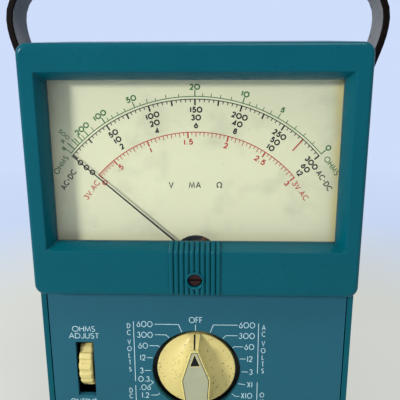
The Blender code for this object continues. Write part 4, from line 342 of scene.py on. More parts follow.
def round_rectangle(low_x, high_x, low_z, high_z, corner, steps):
    """Corner-rounded outline in millimetres, anticlockwise from the lower right."""
    corner = max(corner, 0.01)
    centres = (
        (high_x - corner, low_z + corner, -90.0), (high_x - corner, high_z - corner, 0.0),
        (low_x + corner, high_z - corner, 90.0), (low_x + corner, low_z + corner, 180.0),
    )
    points = []
    for x, z, start in centres:
        for step in range(steps + 1):
            turn = radians(start + 90.0 * step / steps)
            points.append((x + corner * cos(turn), z + corner * sin(turn)))
    return points


def ring_about(x, z, radius, depth, steps):
    """A ring of places at one depth, round an axis that runs front to back."""
    turns = [2 * pi * step / steps for step in range(steps)]
    return [at(x + radius * sin(turn), depth, z + radius * cos(turn)) for turn in turns]


HOOD = {"x": 70.0, "low": -13.7, "high": 92.7, "back": 7.9, "corner": 4.5}
WINDOW = {"x": 63.3, "low": 7.0, "high": 81.5, "in_x": 60.1, "in_low": 9.3, "in_high": 78.0, "seat": 5.5}
REEDS = 10
REED_PITCH = 2.25
BOSS_DROP = 6.0
BOSS_RADIUS = 4.0
BORE_RADIUS = 3.2
BORE_ROOM = 0.2
BORE_ENDS = (-3.0, 12.0)
CORNER_STEPS = 10
BACK_CHAMFER = 0.2
RIM_CORNER = 0.8
SEAT_CORNER = 0.5
RIM_ROLL = 0.5
RIM_DROP = 0.18
BOSS_ROUND = 0.35
BOSS_CHAMFER = 0.15
BOSS_SINK = 2.0
EDGE_FLAT = 0.4
REED_EDGE = 2.0
REED_STEPS = 12
REED_SINK = 0.03
REED_BACK = 0.4


class MULTIMETER_OT_hood(Operator):
    """Build the meter hood with its bevelled window, reeded strip and zero boss"""

    bl_idname = "multimeter.hood"
    bl_label = "Hood"

    def execute(self, context):
        """Build the hood, the reeds and the boss."""
        tints, sizes = context.scene.multimeter_colours, context.scene.multimeter_sizes
        # The hood's plastic lightens its edges as wear and painted highlight, and darkens its hollows with
        # painted shade.
        plastic = surface("hood_plastic", tints.hood, 0.22, grain=0.06, grain_size=0.5, patch=22.0, edge_wear_and_highlight=0.35,
                          spots=0.25, shine=0.12, hollow_shade=0.85)
        hood = finished_piece("hood_frame", hood_form(sizes.edge_round / MM), plastic, "base", smooth=50.0)
        reeds = finished_piece("hood_reeds", reed_form(sizes.reed_height / MM), plastic, "base", smooth=50.0)
        bore_tool = bmesh.new()
        ends = [ring_about(0.0, -BOSS_DROP, BORE_RADIUS + BORE_ROOM, depth, 48) for depth in BORE_ENDS]
        tube_between(bore_tool, ends, cap=True)
        tool = finished_piece("bore_tool", bore_tool, plastic, None)
        for piece in (hood, reeds):
            bored(piece, tool)
            even_normals(piece)
        bpy.data.objects.remove(tool, do_unlink=True)
        ring = bmesh.new()
        outer, inner, proud = BOSS_RADIUS, BORE_RADIUS, BOSS_PROUD
        profile = [(outer, BOSS_SINK), (outer, BOSS_ROUND - proud)]
        for step in range(1, 7):
            turn = radians(90.0 * step / 6)
            profile.append((outer - BOSS_ROUND * (1 - cos(turn)), BOSS_ROUND * (1 - sin(turn)) - proud))
        profile += [(inner + BOSS_CHAMFER, -proud), (inner, BOSS_CHAMFER - proud), (inner, HOOD["back"])]
        tube_between(ring, [ring_about(0.0, -BOSS_DROP, radius, depth, 64) for radius, depth in profile])
        finished_piece("zero_boss", ring, plastic, "base", smooth=50.0)
        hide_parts("meter_hood")
        return {"FINISHED"}


def bored(piece, tool):
    """Cut a tool out of a piece for good."""
    cut = piece.modifiers.new("bore", "BOOLEAN")
    cut.operation = "DIFFERENCE"
    cut.solver = "EXACT"
    cut.object = tool
    bpy.context.view_layer.update()
    shown = piece.evaluated_get(bpy.context.evaluated_depsgraph_get())
    mesh = bpy.data.meshes.new_from_object(shown)
    piece.modifiers.remove(cut)
    piece.data = mesh


def frame_ring(half, low, high, corner, depth):
    """A ring of places at one depth, on a rounded rectangle centred across."""
    outline = round_rectangle(-half, half, low, high, corner, CORNER_STEPS)
    return [at(across, depth, up) for across, up in outline]


def hood_form(edge):
    """Mesh of the hood's frame: rounded front edges, flat face, sloping window sides."""
    half, low, high, corner, back = (HOOD[key] for key in ("x", "low", "high", "corner", "back"))
    sections = [(BACK_CHAMFER, back), (0.0, back - BACK_CHAMFER), (0.0, edge + EDGE_FLAT)]
    for step in range(9):
        turn = radians(90.0 * step / 8)
        sections.append((edge * (1 - cos(turn)), edge * (1 - sin(turn))))
    rings = []
    for inset, depth in sections:
        rings.append(frame_ring(half - inset, low + inset, high - inset, corner - inset * 0.8, depth))
    for step in range(4):
        turn = radians(30.0 * step)
        out = RIM_ROLL * (1 - sin(turn))
        depth = RIM_DROP * (1 - cos(turn))
        low, high = WINDOW["low"] - out, WINDOW["high"] + out
        rings.append(frame_ring(WINDOW["x"] + out, low, high, RIM_CORNER + out, depth))
    for share in (0.12, 0.5, 1.0):
        rings.append(slope_ring(share))
    rings.append(frame_ring(WINDOW["in_x"], WINDOW["in_low"], WINDOW["in_high"], SEAT_CORNER, back))
    rings.append(rings[0])
    form = bmesh.new()
    tube_between(form, rings)
    return form


def slope_ring(share):
    """Ring on the window's sloping side at a share of its depth."""
    half, low, high = (between((WINDOW[out], WINDOW["in_" + out]), share) for out in ("x", "low", "high"))
    return frame_ring(half, low, high, between((RIM_CORNER, SEAT_CORNER), share), WINDOW["seat"] * share)


def reed_path():
    """Way of the reeds as depth, height, and the direction in which they stand out."""
    slope = Vector((WINDOW["low"] - WINDOW["in_low"], WINDOW["seat"])).normalized()
    rim = WINDOW["low"] + 0.2
    path = [(WINDOW["seat"] - 0.1, WINDOW["in_low"] - 0.04, slope.x, slope.y), (0.5, rim, -0.42, 0.91)]
    for step in range(1, 6):
        turn = radians(66.0 - 66.0 * step / 6)
        path.append((0.5 - 0.5 * step / 6, rim - 0.6 * step / 6, -cos(turn), sin(turn)))
    path += [(0.0, WINDOW["low"] - 0.6, -1.0, 0.0), (0.0, HOOD["low"] + REED_EDGE, -1.0, 0.0)]
    for step in range(1, 9):
        turn = radians(90.0 * step / 8)
        depth = REED_EDGE * (1 - cos(turn))
        path.append((depth, HOOD["low"] + REED_EDGE * (1 - sin(turn)), -cos(turn), -sin(turn)))
    return path


def reed_form(height):
    """Mesh of the reeds, swept from the lens over the bevel, down the face and round the lower edge."""
    rings = []
    half = REEDS * REED_PITCH / 2
    for depth, z, out_depth, out_z in reed_path():
        fade = min(1.0, max(0.0, (z - HOOD["low"]) / REED_EDGE))
        stands = []
        for reed in range(REEDS):
            for step in range(REED_STEPS):
                share = step / REED_STEPS
                lift = height * fade * max(0.0, sin(pi * share)) ** 0.55 - REED_SINK
                stands.append((-half + (reed + share) * REED_PITCH, lift))
        stands += [(half, -REED_SINK), (half, -REED_BACK), (-half, -REED_BACK)]
        rings.append([at(across, depth + out_depth * lift, z + out_z * lift) for across, lift in stands])
    form = bmesh.new()
    tube_between(form, rings, cap=True)
    return form


def bend(x, z, across, up, start, end, steps=10):
    """Points on an arc of a letter, by turn in degrees from the right."""
    turns = [radians(start + (end - start) * step / steps) for step in range(steps + 1)]
    return [(x + across * cos(turn), z + up * sin(turn)) for turn in turns]


BOWL = bend(0.52, 0.5, 0.52, 0.5, 90, 450, 24)
# Strokes of each character in heights of a capital, with the width that it takes.
LETTERS = {
    "0": (1.04, [BOWL]),
    "O": (1.04, [BOWL]),
    "1": (0.14, [[(0.07, 0.0), (0.07, 1.0)]]),
    "2": (0.62, [bend(0.3, 0.7, 0.3, 0.3, 170, -38) + [(0.0, 0.0), (0.62, 0.0)]]),
    "3": (0.60, [bend(0.28, 0.76, 0.25, 0.24, 165, -90), bend(0.28, 0.27, 0.31, 0.27, 90, -165)]),
    "4": (0.70, [[(0.52, 0.0), (0.52, 1.0), (0.0, 0.26), (0.70, 0.26)]]),
    "5": (0.68, [[(0.64, 1.0), (0.18, 1.0), (0.09, 0.56)] + bend(0.32, 0.33, 0.35, 0.33, 115, -150)]),
    "6": (0.66, [[(0.46, 1.0), (0.06, 0.46)] + bend(0.33, 0.31, 0.33, 0.31, 150, 510, 20)]),
    "8": (0.60, [bend(0.3, 0.76, 0.24, 0.24, 0, 360, 18), bend(0.3, 0.27, 0.3, 0.27, 0, 360, 18)]),
    "A": (0.78, [[(0.0, 0.0), (0.39, 1.0), (0.78, 0.0)], [(0.13, 0.32), (0.65, 0.32)]]),
    "C": (0.84, [bend(0.5, 0.5, 0.5, 0.5, 48, 312, 18)]),
    "D": (0.74, [[(0.0, 1.0), (0.0, 0.0)] + bend(0.24, 0.5, 0.5, 0.5, -90, 90, 12) + [(0.0, 1.0)]]),
    "F": (0.46, [[(0.0, 0.0), (0.0, 1.0), (0.46, 1.0)], [(0.0, 0.52), (0.42, 0.52)]]),
    "H": (0.66, [[(0.0, 0.0), (0.0, 1.0)], [(0.66, 0.0), (0.66, 1.0)], [(0.0, 0.52), (0.66, 0.52)]]),
    "J": (0.42, [[(0.42, 1.0), (0.42, 0.22)] + bend(0.2, 0.22, 0.22, 0.22, 0, -170, 8)]),
    "K": (0.60, [[(0.0, 0.0), (0.0, 1.0)], [(0.56, 1.0), (0.0, 0.42)], [(0.18, 0.60), (0.60, 0.0)]]),
    "L": (0.44, [[(0.0, 1.0), (0.0, 0.0), (0.44, 0.0)]]),
    "M": (0.90, [[(0.0, 0.0), (0.10, 1.0), (0.45, 0.12), (0.80, 1.0), (0.90, 0.0)]]),
    "P": (0.50, [[(0.0, 0.0), (0.0, 1.0)] + bend(0.24, 0.74, 0.26, 0.26, 90, -90, 8) + [(0.0, 0.48)]]),
    "S": (0.52, [bend(0.27, 0.75, 0.23, 0.25, 40, 270, 12) + bend(0.25, 0.26, 0.27, 0.26, 85, -140, 12)]),
    "T": (0.54, [[(0.0, 1.0), (0.54, 1.0)], [(0.27, 1.0), (0.27, 0.0)]]),
    "U": (0.62, [[(0.0, 1.0), (0.0, 0.3)] + bend(0.31, 0.3, 0.31, 0.3, 180, 360, 12) + [(0.62, 1.0)]]),
    "V": (0.72, [[(0.0, 1.0), (0.36, 0.0), (0.72, 1.0)]]),
    "X": (0.60, [[(0.0, 0.0), (0.60, 1.0)], [(0.0, 1.0), (0.60, 0.0)]]),
    "+": (0.60, [[(0.0, 0.5), (0.60, 0.5)], [(0.30, 0.2), (0.30, 0.8)]]),
    "-": (0.40, [[(0.0, 0.5), (0.40, 0.5)]]),
    ".": (0.14, [[(0.0, 0.07), (0.14, 0.07)]]),
    " ": (0.34, []),
    "~": (1.00, [bend(0.25, 0.5, 0.25, 0.25, 0, 360, 14), bend(0.75, 0.5, 0.25, 0.25, 0, 360, 14)]),
    "W": (0.90, [bend(0.45, 0.56, 0.42, 0.44, -60, 240, 18) + [(0.0, 0.06)],
                 [(0.66, 0.18), (0.66, 0.06), (0.90, 0.06)]]),
}
LETTER_GAP = 0.14
# Strokes that cross lie on one of five layers, so that none shares its level with the next.
STROKE_LAYERS = 5
LAYER_STEP = 0.002
SAME_PLACE = 0.0001
ENDS_MEET = 0.001
SHARP_BEND = 0.2
MITRE_LIMIT = 0.45


def ribbon(form, points, width, depth):
    """A flat printed line along places given across and above the pivot."""
    path = []
    for point in map(Vector, points):
        if not path or (point - path[-1]).length > SAME_PLACE:
            path.append(point)
    closed = len(path) > 3 and (path[0] - path[-1]).length < ENDS_MEET
    if closed:
        path.pop()
    count = len(path)
    sides = []
    for number, point in enumerate(path):
        before = path[number - 1] if closed or number else None
        after = path[(number + 1) % count] if closed or number < count - 1 else None
        came = (point - before).normalized() if before is not None else (after - point).normalized()
        goes = (after - point).normalized() if after is not None else came
        along = came + goes
        along = along.normalized() if along.length > SHARP_BEND else goes
        out = Vector((-along.y, along.x))
        reach = 0.5 * width / max(MITRE_LIMIT, out.dot(Vector((-came.y, came.x))))
        sides.append((point + out * reach, point - out * reach))
    made = [[form.verts.new(at(place.x, depth, place.y)) for place in pair] for pair in sides]
    pairs = list(zip(made, made[1:])) + ([(made[-1], made[0])] if closed else [])
    for near, far in pairs:
        form.faces.new((near[0], near[1], far[1], far[0]))


def text_width(text, height, squeeze, gap):
    """Width that a line of text takes between the middles of its outer strokes."""
    return sum(LETTERS[sign][0] for sign in text) * height * squeeze + gap * (len(text) - 1)


def lettered(form, text, x, z, height, width, depth, turn=0.0, align=0.5, squeeze=1.0, spacing=LETTER_GAP):
    """Draw a line of text round a point, turned clockwise by a number of degrees.

    Align is the share of the text that lies left of the point.
    """
    across = Vector((cos(radians(turn)), -sin(radians(turn))))
    up = Vector((sin(radians(turn)), cos(radians(turn))))
    gap = spacing * height + width
    pen = -text_width(text, height, squeeze, gap) * align
    layer = 0
    for sign in text:
        for stroke in LETTERS[sign][1]:
            places = []
            for along, rise in stroke:
                local = across * (pen + along * height * squeeze) + up * (rise * height - height / 2)
                places.append((x + local.x, z + local.y))
            layer = (layer + 1) % STROKE_LAYERS
            ribbon(form, places, width, depth - layer * LAYER_STEP)
        pen += LETTERS[sign][0] * height * squeeze + gap


def polar(turn, radius):
    """Place on the dial at a turn in degrees clockwise from straight up."""
    return radius * sin(radians(turn)), radius * cos(radians(turn))


def dial_text(form, text, turn, radius, height, width, depth, lean=None, **spread):
    """Draw text at a place on the dial, upright towards the pivot unless it leans by another turn."""
    x, z = polar(turn, radius)
    lettered(form, text, x, z, height, width, depth, turn=turn if lean is None else lean, **spread)


def both_ends(form, text, turn, radius, height, width, depth, lean, **spread):
    """Draw one word beyond the left end and the right end of a scale."""
    for side in (-1, 1):
        dial_text(form, text, side * turn, radius, height, width, depth, lean=side * lean, **spread)


def arc_line(form, start, end, radius, width, depth, steps):
    """A printed arc round the pivot."""
    ribbon(form, [polar(start + (end - start) * step / steps, radius) for step in range(steps + 1)], width,
           depth)


def tick_line(form, turn, low, high, width, depth):
    """A printed tick between two radii."""
    ribbon(form, [polar(turn, low), polar(turn, high)], width, depth)


def ink(name, base):
    """Printing ink, thin and slightly uneven."""
    return surface(name, base, 0.6, grain=0.05, grain_size=0.2, mottle=0.15, patch=3.0, shine=0.15)


DIAL_DEPTH = 12.8
DIAL_SPAN = 48.7
BLACK_RADIUS = 69.77
GREEN_RADIUS = 70.91
RED_RADIUS = 56.0
ROW_RADII = (65.4, 62.15, 58.85)
GREEN_LABELS = 74.8
RED_LABELS = 51.9
ZERO_TURN = -49.2
ZERO_SIZE = 0.92
LONG_MARK_SHARE = 275 / 300
LONG_MARK_RADII = (63.3, 69.4)
SCALE_PARTS = 60
MIDDLE_OHMS = 20.0
TICK_LIFT = 0.004
TICK_FOOT = 0.1
BLACK_ARC = 0.36
GREEN_ARC = 0.34
RED_ARC = 0.36
# Length and width of ordinary ticks, of every fifth or second, and of every tenth.
BLACK_TICKS = ((1.2, 0.36), (2.2, 0.66), (2.5, 0.66))
RED_TICKS = ((1.3, 0.30), (1.9, 0.32), (2.5, 0.60))
BLACK_STROKE = 0.58
ZERO_STROKE = 0.56
GREEN_STROKE = 0.54
RED_STROKE = 0.52
RED_VOLTS = ((0.0, -48.2), (0.5, -38.7), (1.0, -21.4), (1.5, -3.2), (2.0, 14.5), (2.5, 32.1), (3.0, 49.2))
OHM_TICKS = (
    (0, 2.6), (1, 1.5), (2, 1.5), (3, 1.5), (4, 1.5), (5, 2.2), (6, 1.5), (7, 1.5), (8, 1.5), (9, 1.5),
    (10, 2.5), (12, 1.4), (14, 1.4), (16, 1.4), (18, 1.4), (20, 2.7), (25, 1.2), (30, 1.7), (35, 1.2),
    (40, 1.7), (45, 1.2), (50, 2.5), (60, 1.4), (70, 1.4), (80, 1.4), (90, 1.4), (100, 2.5), (150, 2.0),
    (200, 2.5), (250, 2.0), (300, 3.0), (400, 3.2), (500, 3.6), (1000, 4.0),
)


class MULTIMETER_OT_dial(Operator):
    """Print the scales on the dial in black, green and red"""

    bl_idname = "multimeter.dial"
    bl_label = "Dial printing"

    def execute(self, context):
        """Print each ink as one piece."""
        tints, sizes = context.scene.multimeter_colours, context.scene.multimeter_sizes
        depth = DIAL_DEPTH - sizes.ink_height / MM
        high = sizes.digit_height / MM
        steps = sizes.arc_steps
        for name, draw, tint in (
            ("dial_black_print", black_scale, tints.black_ink),
            ("dial_green_print", green_scale, tints.green_ink),
            ("dial_red_print", red_scale, tints.red_ink),
        ):
            form = bmesh.new()
            draw(form, depth, high, steps)
            finished_piece(name, form, ink(name + "_ink", tint), "base")
        return {"FINISHED"}


def scale_turn(share):
    """Turn of the needle in degrees at a share of the full scale."""
    return -DIAL_SPAN + 2 * DIAL_SPAN * share


def ohms_turn(ohms):
    """Turn of the needle in degrees for a resistance."""
    return scale_turn(MIDDLE_OHMS / (MIDDLE_OHMS + ohms))


def red_volts(value):
    """Turn of the needle in degrees for a reading on the red scale."""
    for (low, start), (high, end) in zip(RED_VOLTS, RED_VOLTS[1:]):
        if value <= high + SAME_PLACE:
            return start + (end - start) * (value - low) / (high - low)
    raise ValueError("The reading is beyond the red scale")


def black_scale(form, depth, high, steps):
    """Voltage and current scale in sixty parts, with three rows of figures."""
    arc_line(form, -DIAL_SPAN, DIAL_SPAN, BLACK_RADIUS, BLACK_ARC, depth, steps)
    for part in range(SCALE_PARTS + 1):
        long, wide = BLACK_TICKS[(part % 5 == 0) + (part % 10 == 0)]
        turn = scale_turn(part / SCALE_PARTS)
        tick_line(form, turn, BLACK_RADIUS - long, BLACK_RADIUS + TICK_FOOT, wide, depth - TICK_LIFT)
    for radius, full in zip(ROW_RADII, (300, 60, 12)):
        for sixth in range(1, 7):
            turn = scale_turn(sixth / 6)
            figures = str(full * sixth // 6)
            dial_text(form, figures, turn + 0.4, radius, high, BLACK_STROKE, depth,
                      lean=turn, squeeze=0.9, spacing=0.06)
        dial_text(form, "0", ZERO_TURN, radius, high * ZERO_SIZE, ZERO_STROKE, depth)
    both_ends(form, "AC-DC", 57.5, 65.4, 2.1, 0.44, depth, 55.5, squeeze=0.95, spacing=0.10)
    lettered(form, "V    MA    W", 0.0, 33.0, 2.4, 0.42, depth)


def green_scale(form, depth, high, steps):
    """Resistance scale that runs backwards outside the black one."""
    arc_line(form, -DIAL_SPAN, DIAL_SPAN, GREEN_RADIUS, GREEN_ARC, depth, steps)
    foot = GREEN_RADIUS - TICK_FOOT
    for ohms, long in OHM_TICKS:
        wide = 0.44 if long > 2.4 else 0.30
        tick_line(form, ohms_turn(ohms), foot, GREEN_RADIUS + long, wide, depth - TICK_LIFT)
    tick_line(form, -DIAL_SPAN, foot, GREEN_RADIUS + 4.6, 0.3, depth - TICK_LIFT)
    for ohms in (0, 5, 10, 20, 50, 100, 200):
        tall = high * {0: 0.95, 5: 0.9}.get(ohms, 1.0)
        dial_text(form, str(ohms), ohms_turn(ohms), GREEN_LABELS, tall, GREEN_STROKE, depth,
                  squeeze=0.94, spacing=0.08)
    crowded = (("500", -55.8, 54.9, 43.0), ("1K", -56.5, 52.0, 42.0), ("~", -56.3, 48.7, 41.0))
    for figures, x, z, turn in crowded:
        lettered(form, figures, x, z, 1.5, 0.30, depth, turn=turn)
    both_ends(form, "OHMS", 54.3, 71.4, 2.2, 0.38, depth, 54.0)


def red_scale(form, depth, high, steps):
    """Low alternating voltage scale and the long red mark of the black scale."""
    arc_line(form, red_volts(0.0), red_volts(3.0), RED_RADIUS, RED_ARC, depth, steps)
    for part in range(SCALE_PARTS + 1):
        long, wide = RED_TICKS[(part % 2 == 0) + (part % 10 == 0)]
        turn = red_volts(part * 0.05)
        tick_line(form, turn, RED_RADIUS - long, RED_RADIUS + TICK_FOOT, wide, depth - TICK_LIFT)
    for value, figures in ((0.5, ".5"), (1.0, "1"), (1.5, "1.5"), (2.0, "2"), (2.5, "2.5"), (3.0, "3")):
        dial_text(form, figures, red_volts(value), RED_LABELS, high, RED_STROKE, depth)
    dial_text(form, "0", ZERO_TURN, RED_LABELS, high * ZERO_SIZE, RED_STROKE, depth)
    both_ends(form, "3V.AC", 55.9, 54.6, 2.2, 0.38, depth, 53.0)
    tick_line(form, scale_turn(LONG_MARK_SHARE), *LONG_MARK_RADII, RED_STROKE, depth - 2 * TICK_LIFT)


PANEL_DEPTH = 8.2
KNOB_DROP = 54.8
LABEL_STROKE = 0.28
LABEL_SQUEEZE = 0.76
LEADER_STROKE = 0.27
LEADER_LIFT = 0.012
# Each label with the place of its middle across and above the pivot.
LABELS = (
    ("600", -23.4, -31.2), ("300", -23.4, -36.6), ("60", -24.4, -42.15), ("12", -24.7, -48.3),
    ("3", -25.4, -55.1), ("0.3", -24.5, -59.6), (".06", -24.1, -64.0), ("1.2", -24.0, -68.2),
    ("12", -22.4, -73.6), ("120", -18.0, -77.6), ("600", 23.2, -31.2), ("300", 23.2, -36.6),
    ("60", 24.4, -42.15), ("12", 24.7, -48.3), ("3", 25.4, -55.1), ("X1", 25.0, -61.75),
    ("X10", 23.6, -67.7), ("X100", 19.6, -73.4), ("X1K", 12.6, -78.2),
)
# Lines from the labels to the knob: those at the right that the left side mirrors, then each side's own.
PAIRED_LEADERS = (
    ((18.9, -31.2), (7.9, -31.2), (6.5, -35.0)), ((18.9, -36.5), (13.7, -36.5), (12.3, -38.0)),
    ((21.5, -42.1), (17.6, -42.1), (16.7, -42.7)), ((22.8, -48.35), (20.1, -48.35)),
    ((24.0, -55.1), (21.1, -55.0)),
)
LEFT_LEADERS = (
    ((-21.4, -60.2), (-20.05, -61.3)), ((-21.9, -63.0), (-20.05, -61.3)),
    ((-21.4, -68.15), (-18.45, -68.1), (-17.2, -67.1)), ((-19.9, -73.2), (-14.6, -73.0), (-13.2, -71.4)),
    ((-14.2, -77.0), (-8.4, -76.6), (-7.4, -74.6)),
)
RIGHT_LEADERS = (
    ((22.8, -61.8), (19.4, -61.3)), ((20.2, -68.1), (18.4, -68.1), (16.6, -66.7)),
    ((15.0, -73.2), (13.6, -72.4), (12.8, -71.6)), ((9.2, -77.8), (7.8, -77.0), (7.0, -75.0)),
)
GROUP_RULES = (
    ((-28.5, -29.9), (-28.5, -60.8)), ((-28.5, -63.0), (-28.5, -79.0)),
    ((28.4, -30.3), (28.4, -55.8)), ((28.4, -60.4), (28.4, -79.0)),
)
# Words written downwards: side, letters, and the height of each letter's middle.
UNIT_COLUMNS = (
    (-30.75, "DCVOLTS", (-32.1, -35.55, -40.3, -43.8, -47.3, -50.9, -54.5)),
    (-30.75, "DCMA", (-65.7, -68.8, -73.2, -76.7)),
    (30.75, "ACVOLTS", (-32.2, -35.55, -40.3, -43.9, -47.4, -50.9, -54.4)),
    (30.75, "OHMS", (-67.2, -70.7, -74.2, -77.7)),
)
# Words beside the thumbwheel and the jacks: text, place, height, squeeze, and share left of the place.
WORDS = (
    ("OHMS", -51.6, -34.0, 2.5, 1.08, 0.5), ("ADJUST", -51.6, -37.5, 2.5, 1.16, 0.5),
    ("OUTPUT", -59.6, -72.0, 2.4, 1.0, 0.0), ("COM -", -30.0, -82.2, 2.4, 1.0, 0.5),
    ("+", 30.0, -82.2, 2.6, 1.0, 0.5), ("12 A", 51.6, -72.0, 2.4, 1.0, 0.5),
)


class MULTIMETER_OT_panel(Operator):
    """Fill the switch and adjuster lettering into the front panel"""

    bl_idname = "multimeter.panel"
    bl_label = "Panel lettering"

    def execute(self, context):
        """Draw the labels, the leaders, the rules and the jack marks as one piece."""
        tints, sizes = context.scene.multimeter_colours, context.scene.multimeter_sizes
        depth = PANEL_DEPTH - sizes.ink_height / MM
        high = sizes.label_height / MM
        form = bmesh.new()
        lettered(form, "OFF", -0.1, -28.9, high, LABEL_STROKE, depth, squeeze=0.86)
        ribbon(form, [(-0.2, -31.2), (-0.2, -34.2)], LABEL_STROKE, depth)
        for text, x, z in LABELS:
            lettered(form, text, x, z, high, LABEL_STROKE, depth, squeeze=LABEL_SQUEEZE)
        mirrored = tuple(tuple((-x, z) for x, z in points) for points in PAIRED_LEADERS)
        for points in PAIRED_LEADERS + mirrored + LEFT_LEADERS + RIGHT_LEADERS + GROUP_RULES:
            ribbon(form, points, LEADER_STROKE, depth - LEADER_LIFT)
        for x, signs, heights in UNIT_COLUMNS:
            for sign, z in zip(signs, heights):
                lettered(form, sign, x, z, 2.3, 0.25, depth, squeeze=LABEL_SQUEEZE)
        for text, x, z, tall, squeeze, align in WORDS:
            lettered(form, text, x, z, tall, LABEL_STROKE, depth, squeeze=squeeze, align=align)
        print_fill = surface("panel_print", tints.panel_ink, 0.55, grain=0.10, grain_size=0.25, mottle=0.12,
                             patch=4.0)
        finished_piece("panel_lettering", form, print_fill, "base")
        return {"FINISHED"}


KNOB_DISC_DEPTH = 9.9
KNOB_BAR_DEPTH = 0.9
KNOB_BACK_DEPTH = 12.9
DISC_RADIUS = 18.25
RIM_ROUND = 0.5
HUB_RADIUS = 7.0
BORE_GAP = 0.15
KNOB_TURN = 2.0
LIP_WIDTH = 0.75
LIP_ROUND = 0.25
GROOVE_DEPTH = 0.65
INLAY_GAP = 0.08
INLAY_ROUND = 0.12
INLAY_SINK = 0.06
INLAY_BACK = 0.6
PRINT_LIFT = 0.03
SHAFT_HOLE = 3.2
AROUND_STEPS = 160
FLARE_STEPS = 14
# Ridge from the rim to the bar's tip: height above the axis, depth of its front, half of its width.
RIDGE_Z = (18.15, 13.6)
RIDGE_FRONT = (9.4, 1.3)
RIDGE_HALF = (2.65, 1.6)
RIDGE_ROUND = 0.25
RIDGE_BACK = 10.3
RIDGE_BACK_Z = 17.9
# Half of the inlay's coffin outline, from its tip to its tail, across and above the knob's axis.
INLAY_OUTLINE = ((1.2, 13.4), (5.95, -0.7), (5.0, -10.7), (4.0, -15.3))


class MULTIMETER_OT_knob(Operator):
    """Build the range knob with its bar, ridge, inlay and arrow"""

    bl_idname = "multimeter.knob"
    bl_label = "Range knob"

    def execute(self, context):
        """Build the knob, its ridge, its inlay and its printing."""
        tints = context.scene.multimeter_colours
        # The knob's plastic lightens its edges as wear and painted highlight, and darkens its hollows with
        # painted shade.
        cream = surface("knob_plastic", tints.knob, 0.36, grain=0.10, grain_size=0.5, mottle=0.09, patch=9.0,
                        edge_wear_and_highlight=0.25, spots=0.60, spot_level=0.63, spot_colour=(0.10, 0.08, 0.03, 1.0),
                        shine=0.3, hollow_shade=0.5)
        grey = surface("inlay_plastic", tints.inlay, 0.50, grain=0.14, patch=5.0, spots=0.3, shine=0.3)
        outline = INLAY_OUTLINE + tuple((-x, z) for x, z in reversed(INLAY_OUTLINE))
        knob = finished_piece("knob_body", knob_form(outline), cream, "selector", smooth=38.0, even=True)
        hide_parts("range_knob")
        inlay = bmesh.new()
        edge = grown(outline, -INLAY_GAP)
        face = KNOB_BAR_DEPTH + INLAY_SINK
        back = KNOB_BAR_DEPTH + INLAY_BACK
        levels = ((grown(edge, -INLAY_ROUND), face), (edge, face + INLAY_ROUND), (edge, back))
        sections = [[knob_at(x, depth, z) for x, z in points] for points, depth in levels]
        tube_between(inlay, sections, cap=True)
        plate = finished_piece("knob_inlay", inlay, grey, "selector", smooth=20.0)
        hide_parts("knob_cap")
        ridge = bmesh.new()
        tube_between(ridge, [ridge_section(share) for share in (0.0, 0.15, 0.4, 0.7, 1.0)], cap=True)
        finished_piece("knob_ridge", ridge, cream, "selector", smooth=30.0, even=True)
        border = ((0.0, 12.8), (2.4, 6.4), (-2.4, 6.4), (0.0, 12.8))
        for name, tint, points, width, depth in (
            ("knob_arrow", tints.black_ink, ((0.0, 12.3), (2.1, 6.7), (-2.1, 6.7)), 0.0, face - PRINT_LIFT),
            ("arrow_border", tints.knob, border, 0.22, face - 0.02),
            # Painted shade: a dark ribbon over the groove round the inlay, drawn like the printing.
            ("inlay_groove_shade", tints.strap_edge, outline + outline[:1], 0.26, KNOB_BAR_DEPTH - PRINT_LIFT / 2),
        ):
            form = bmesh.new()
            if width:
                ribbon(form, [on_knob(x, z) for x, z in points], width, depth)
            else:
                form.faces.new([form.verts.new(knob_at(x, depth, z)) for x, z in points])
            finished_piece(name, form, ink(name + "_ink", tint), "selector")
        line = bmesh.new()
        for low, high in ((0.02, 0.5), (0.5, 0.97)):
            corners = ((low, -0.4), (low, 0.4), (high, 0.4), (high, -0.4))
            line.faces.new([line.verts.new(ridge_face(share, across)) for share, across in corners])
        finished_piece("knob_index_line", line, ink("index_line_ink", tints.black_ink), "selector")
        return {"FINISHED"}


def on_knob(x, z):
    """Across and above the pivot, from a place about the knob's axis turned to the knob's setting."""
    turn = radians(KNOB_TURN)
    return x * cos(turn) - z * sin(turn), x * sin(turn) + z * cos(turn) - KNOB_DROP


def knob_at(x, depth, z):
    """A place in the scene from one about the knob's axis."""
    across, up = on_knob(x, z)
    return at(across, depth, up)


def grown(outline, distance):
    """A clockwise outline moved outwards by a distance."""
    moved = []
    for number, (x, z) in enumerate(outline):
        before, after = outline[number - 1], outline[(number + 1) % len(outline)]
        came = Vector((x - before[0], z - before[1])).normalized()
        goes = Vector((after[0] - x, after[1] - z)).normalized()
        first, second = Vector((-came.y, came.x)), Vector((-goes.y, goes.x))
        shift = (first + second) * distance / (1.0 + first.dot(second))
        moved.append((x + shift.x, z + shift.y))
    return moved


def outline_reach(outline, turn):
    """Distance from the knob's axis to an outline in one direction."""
    across, up = sin(turn), cos(turn)
    reaches = []
    for number, (x, z) in enumerate(outline):
        after = outline[(number + 1) % len(outline)]
        side_x, side_z = after[1] - z, x - after[0]
        toward = side_x * across + side_z * up
        if abs(toward) > 0.000001:
            reaches.append((side_x * x + side_z * z) / toward)
    return min(reach for reach in reaches if reach > 0.0)


def knob_turns(outlines):
    """Directions round the knob, evenly spread and with one at each corner of the outlines."""
    turns = [2 * pi * step / AROUND_STEPS for step in range(AROUND_STEPS)]
    turns += [atan2(x, z) % (2 * pi) for outline in outlines for x, z in outline]
    turns.sort()
    return [turn for number, turn in enumerate(turns) if number == 0 or turn - turns[number - 1] > 0.002]


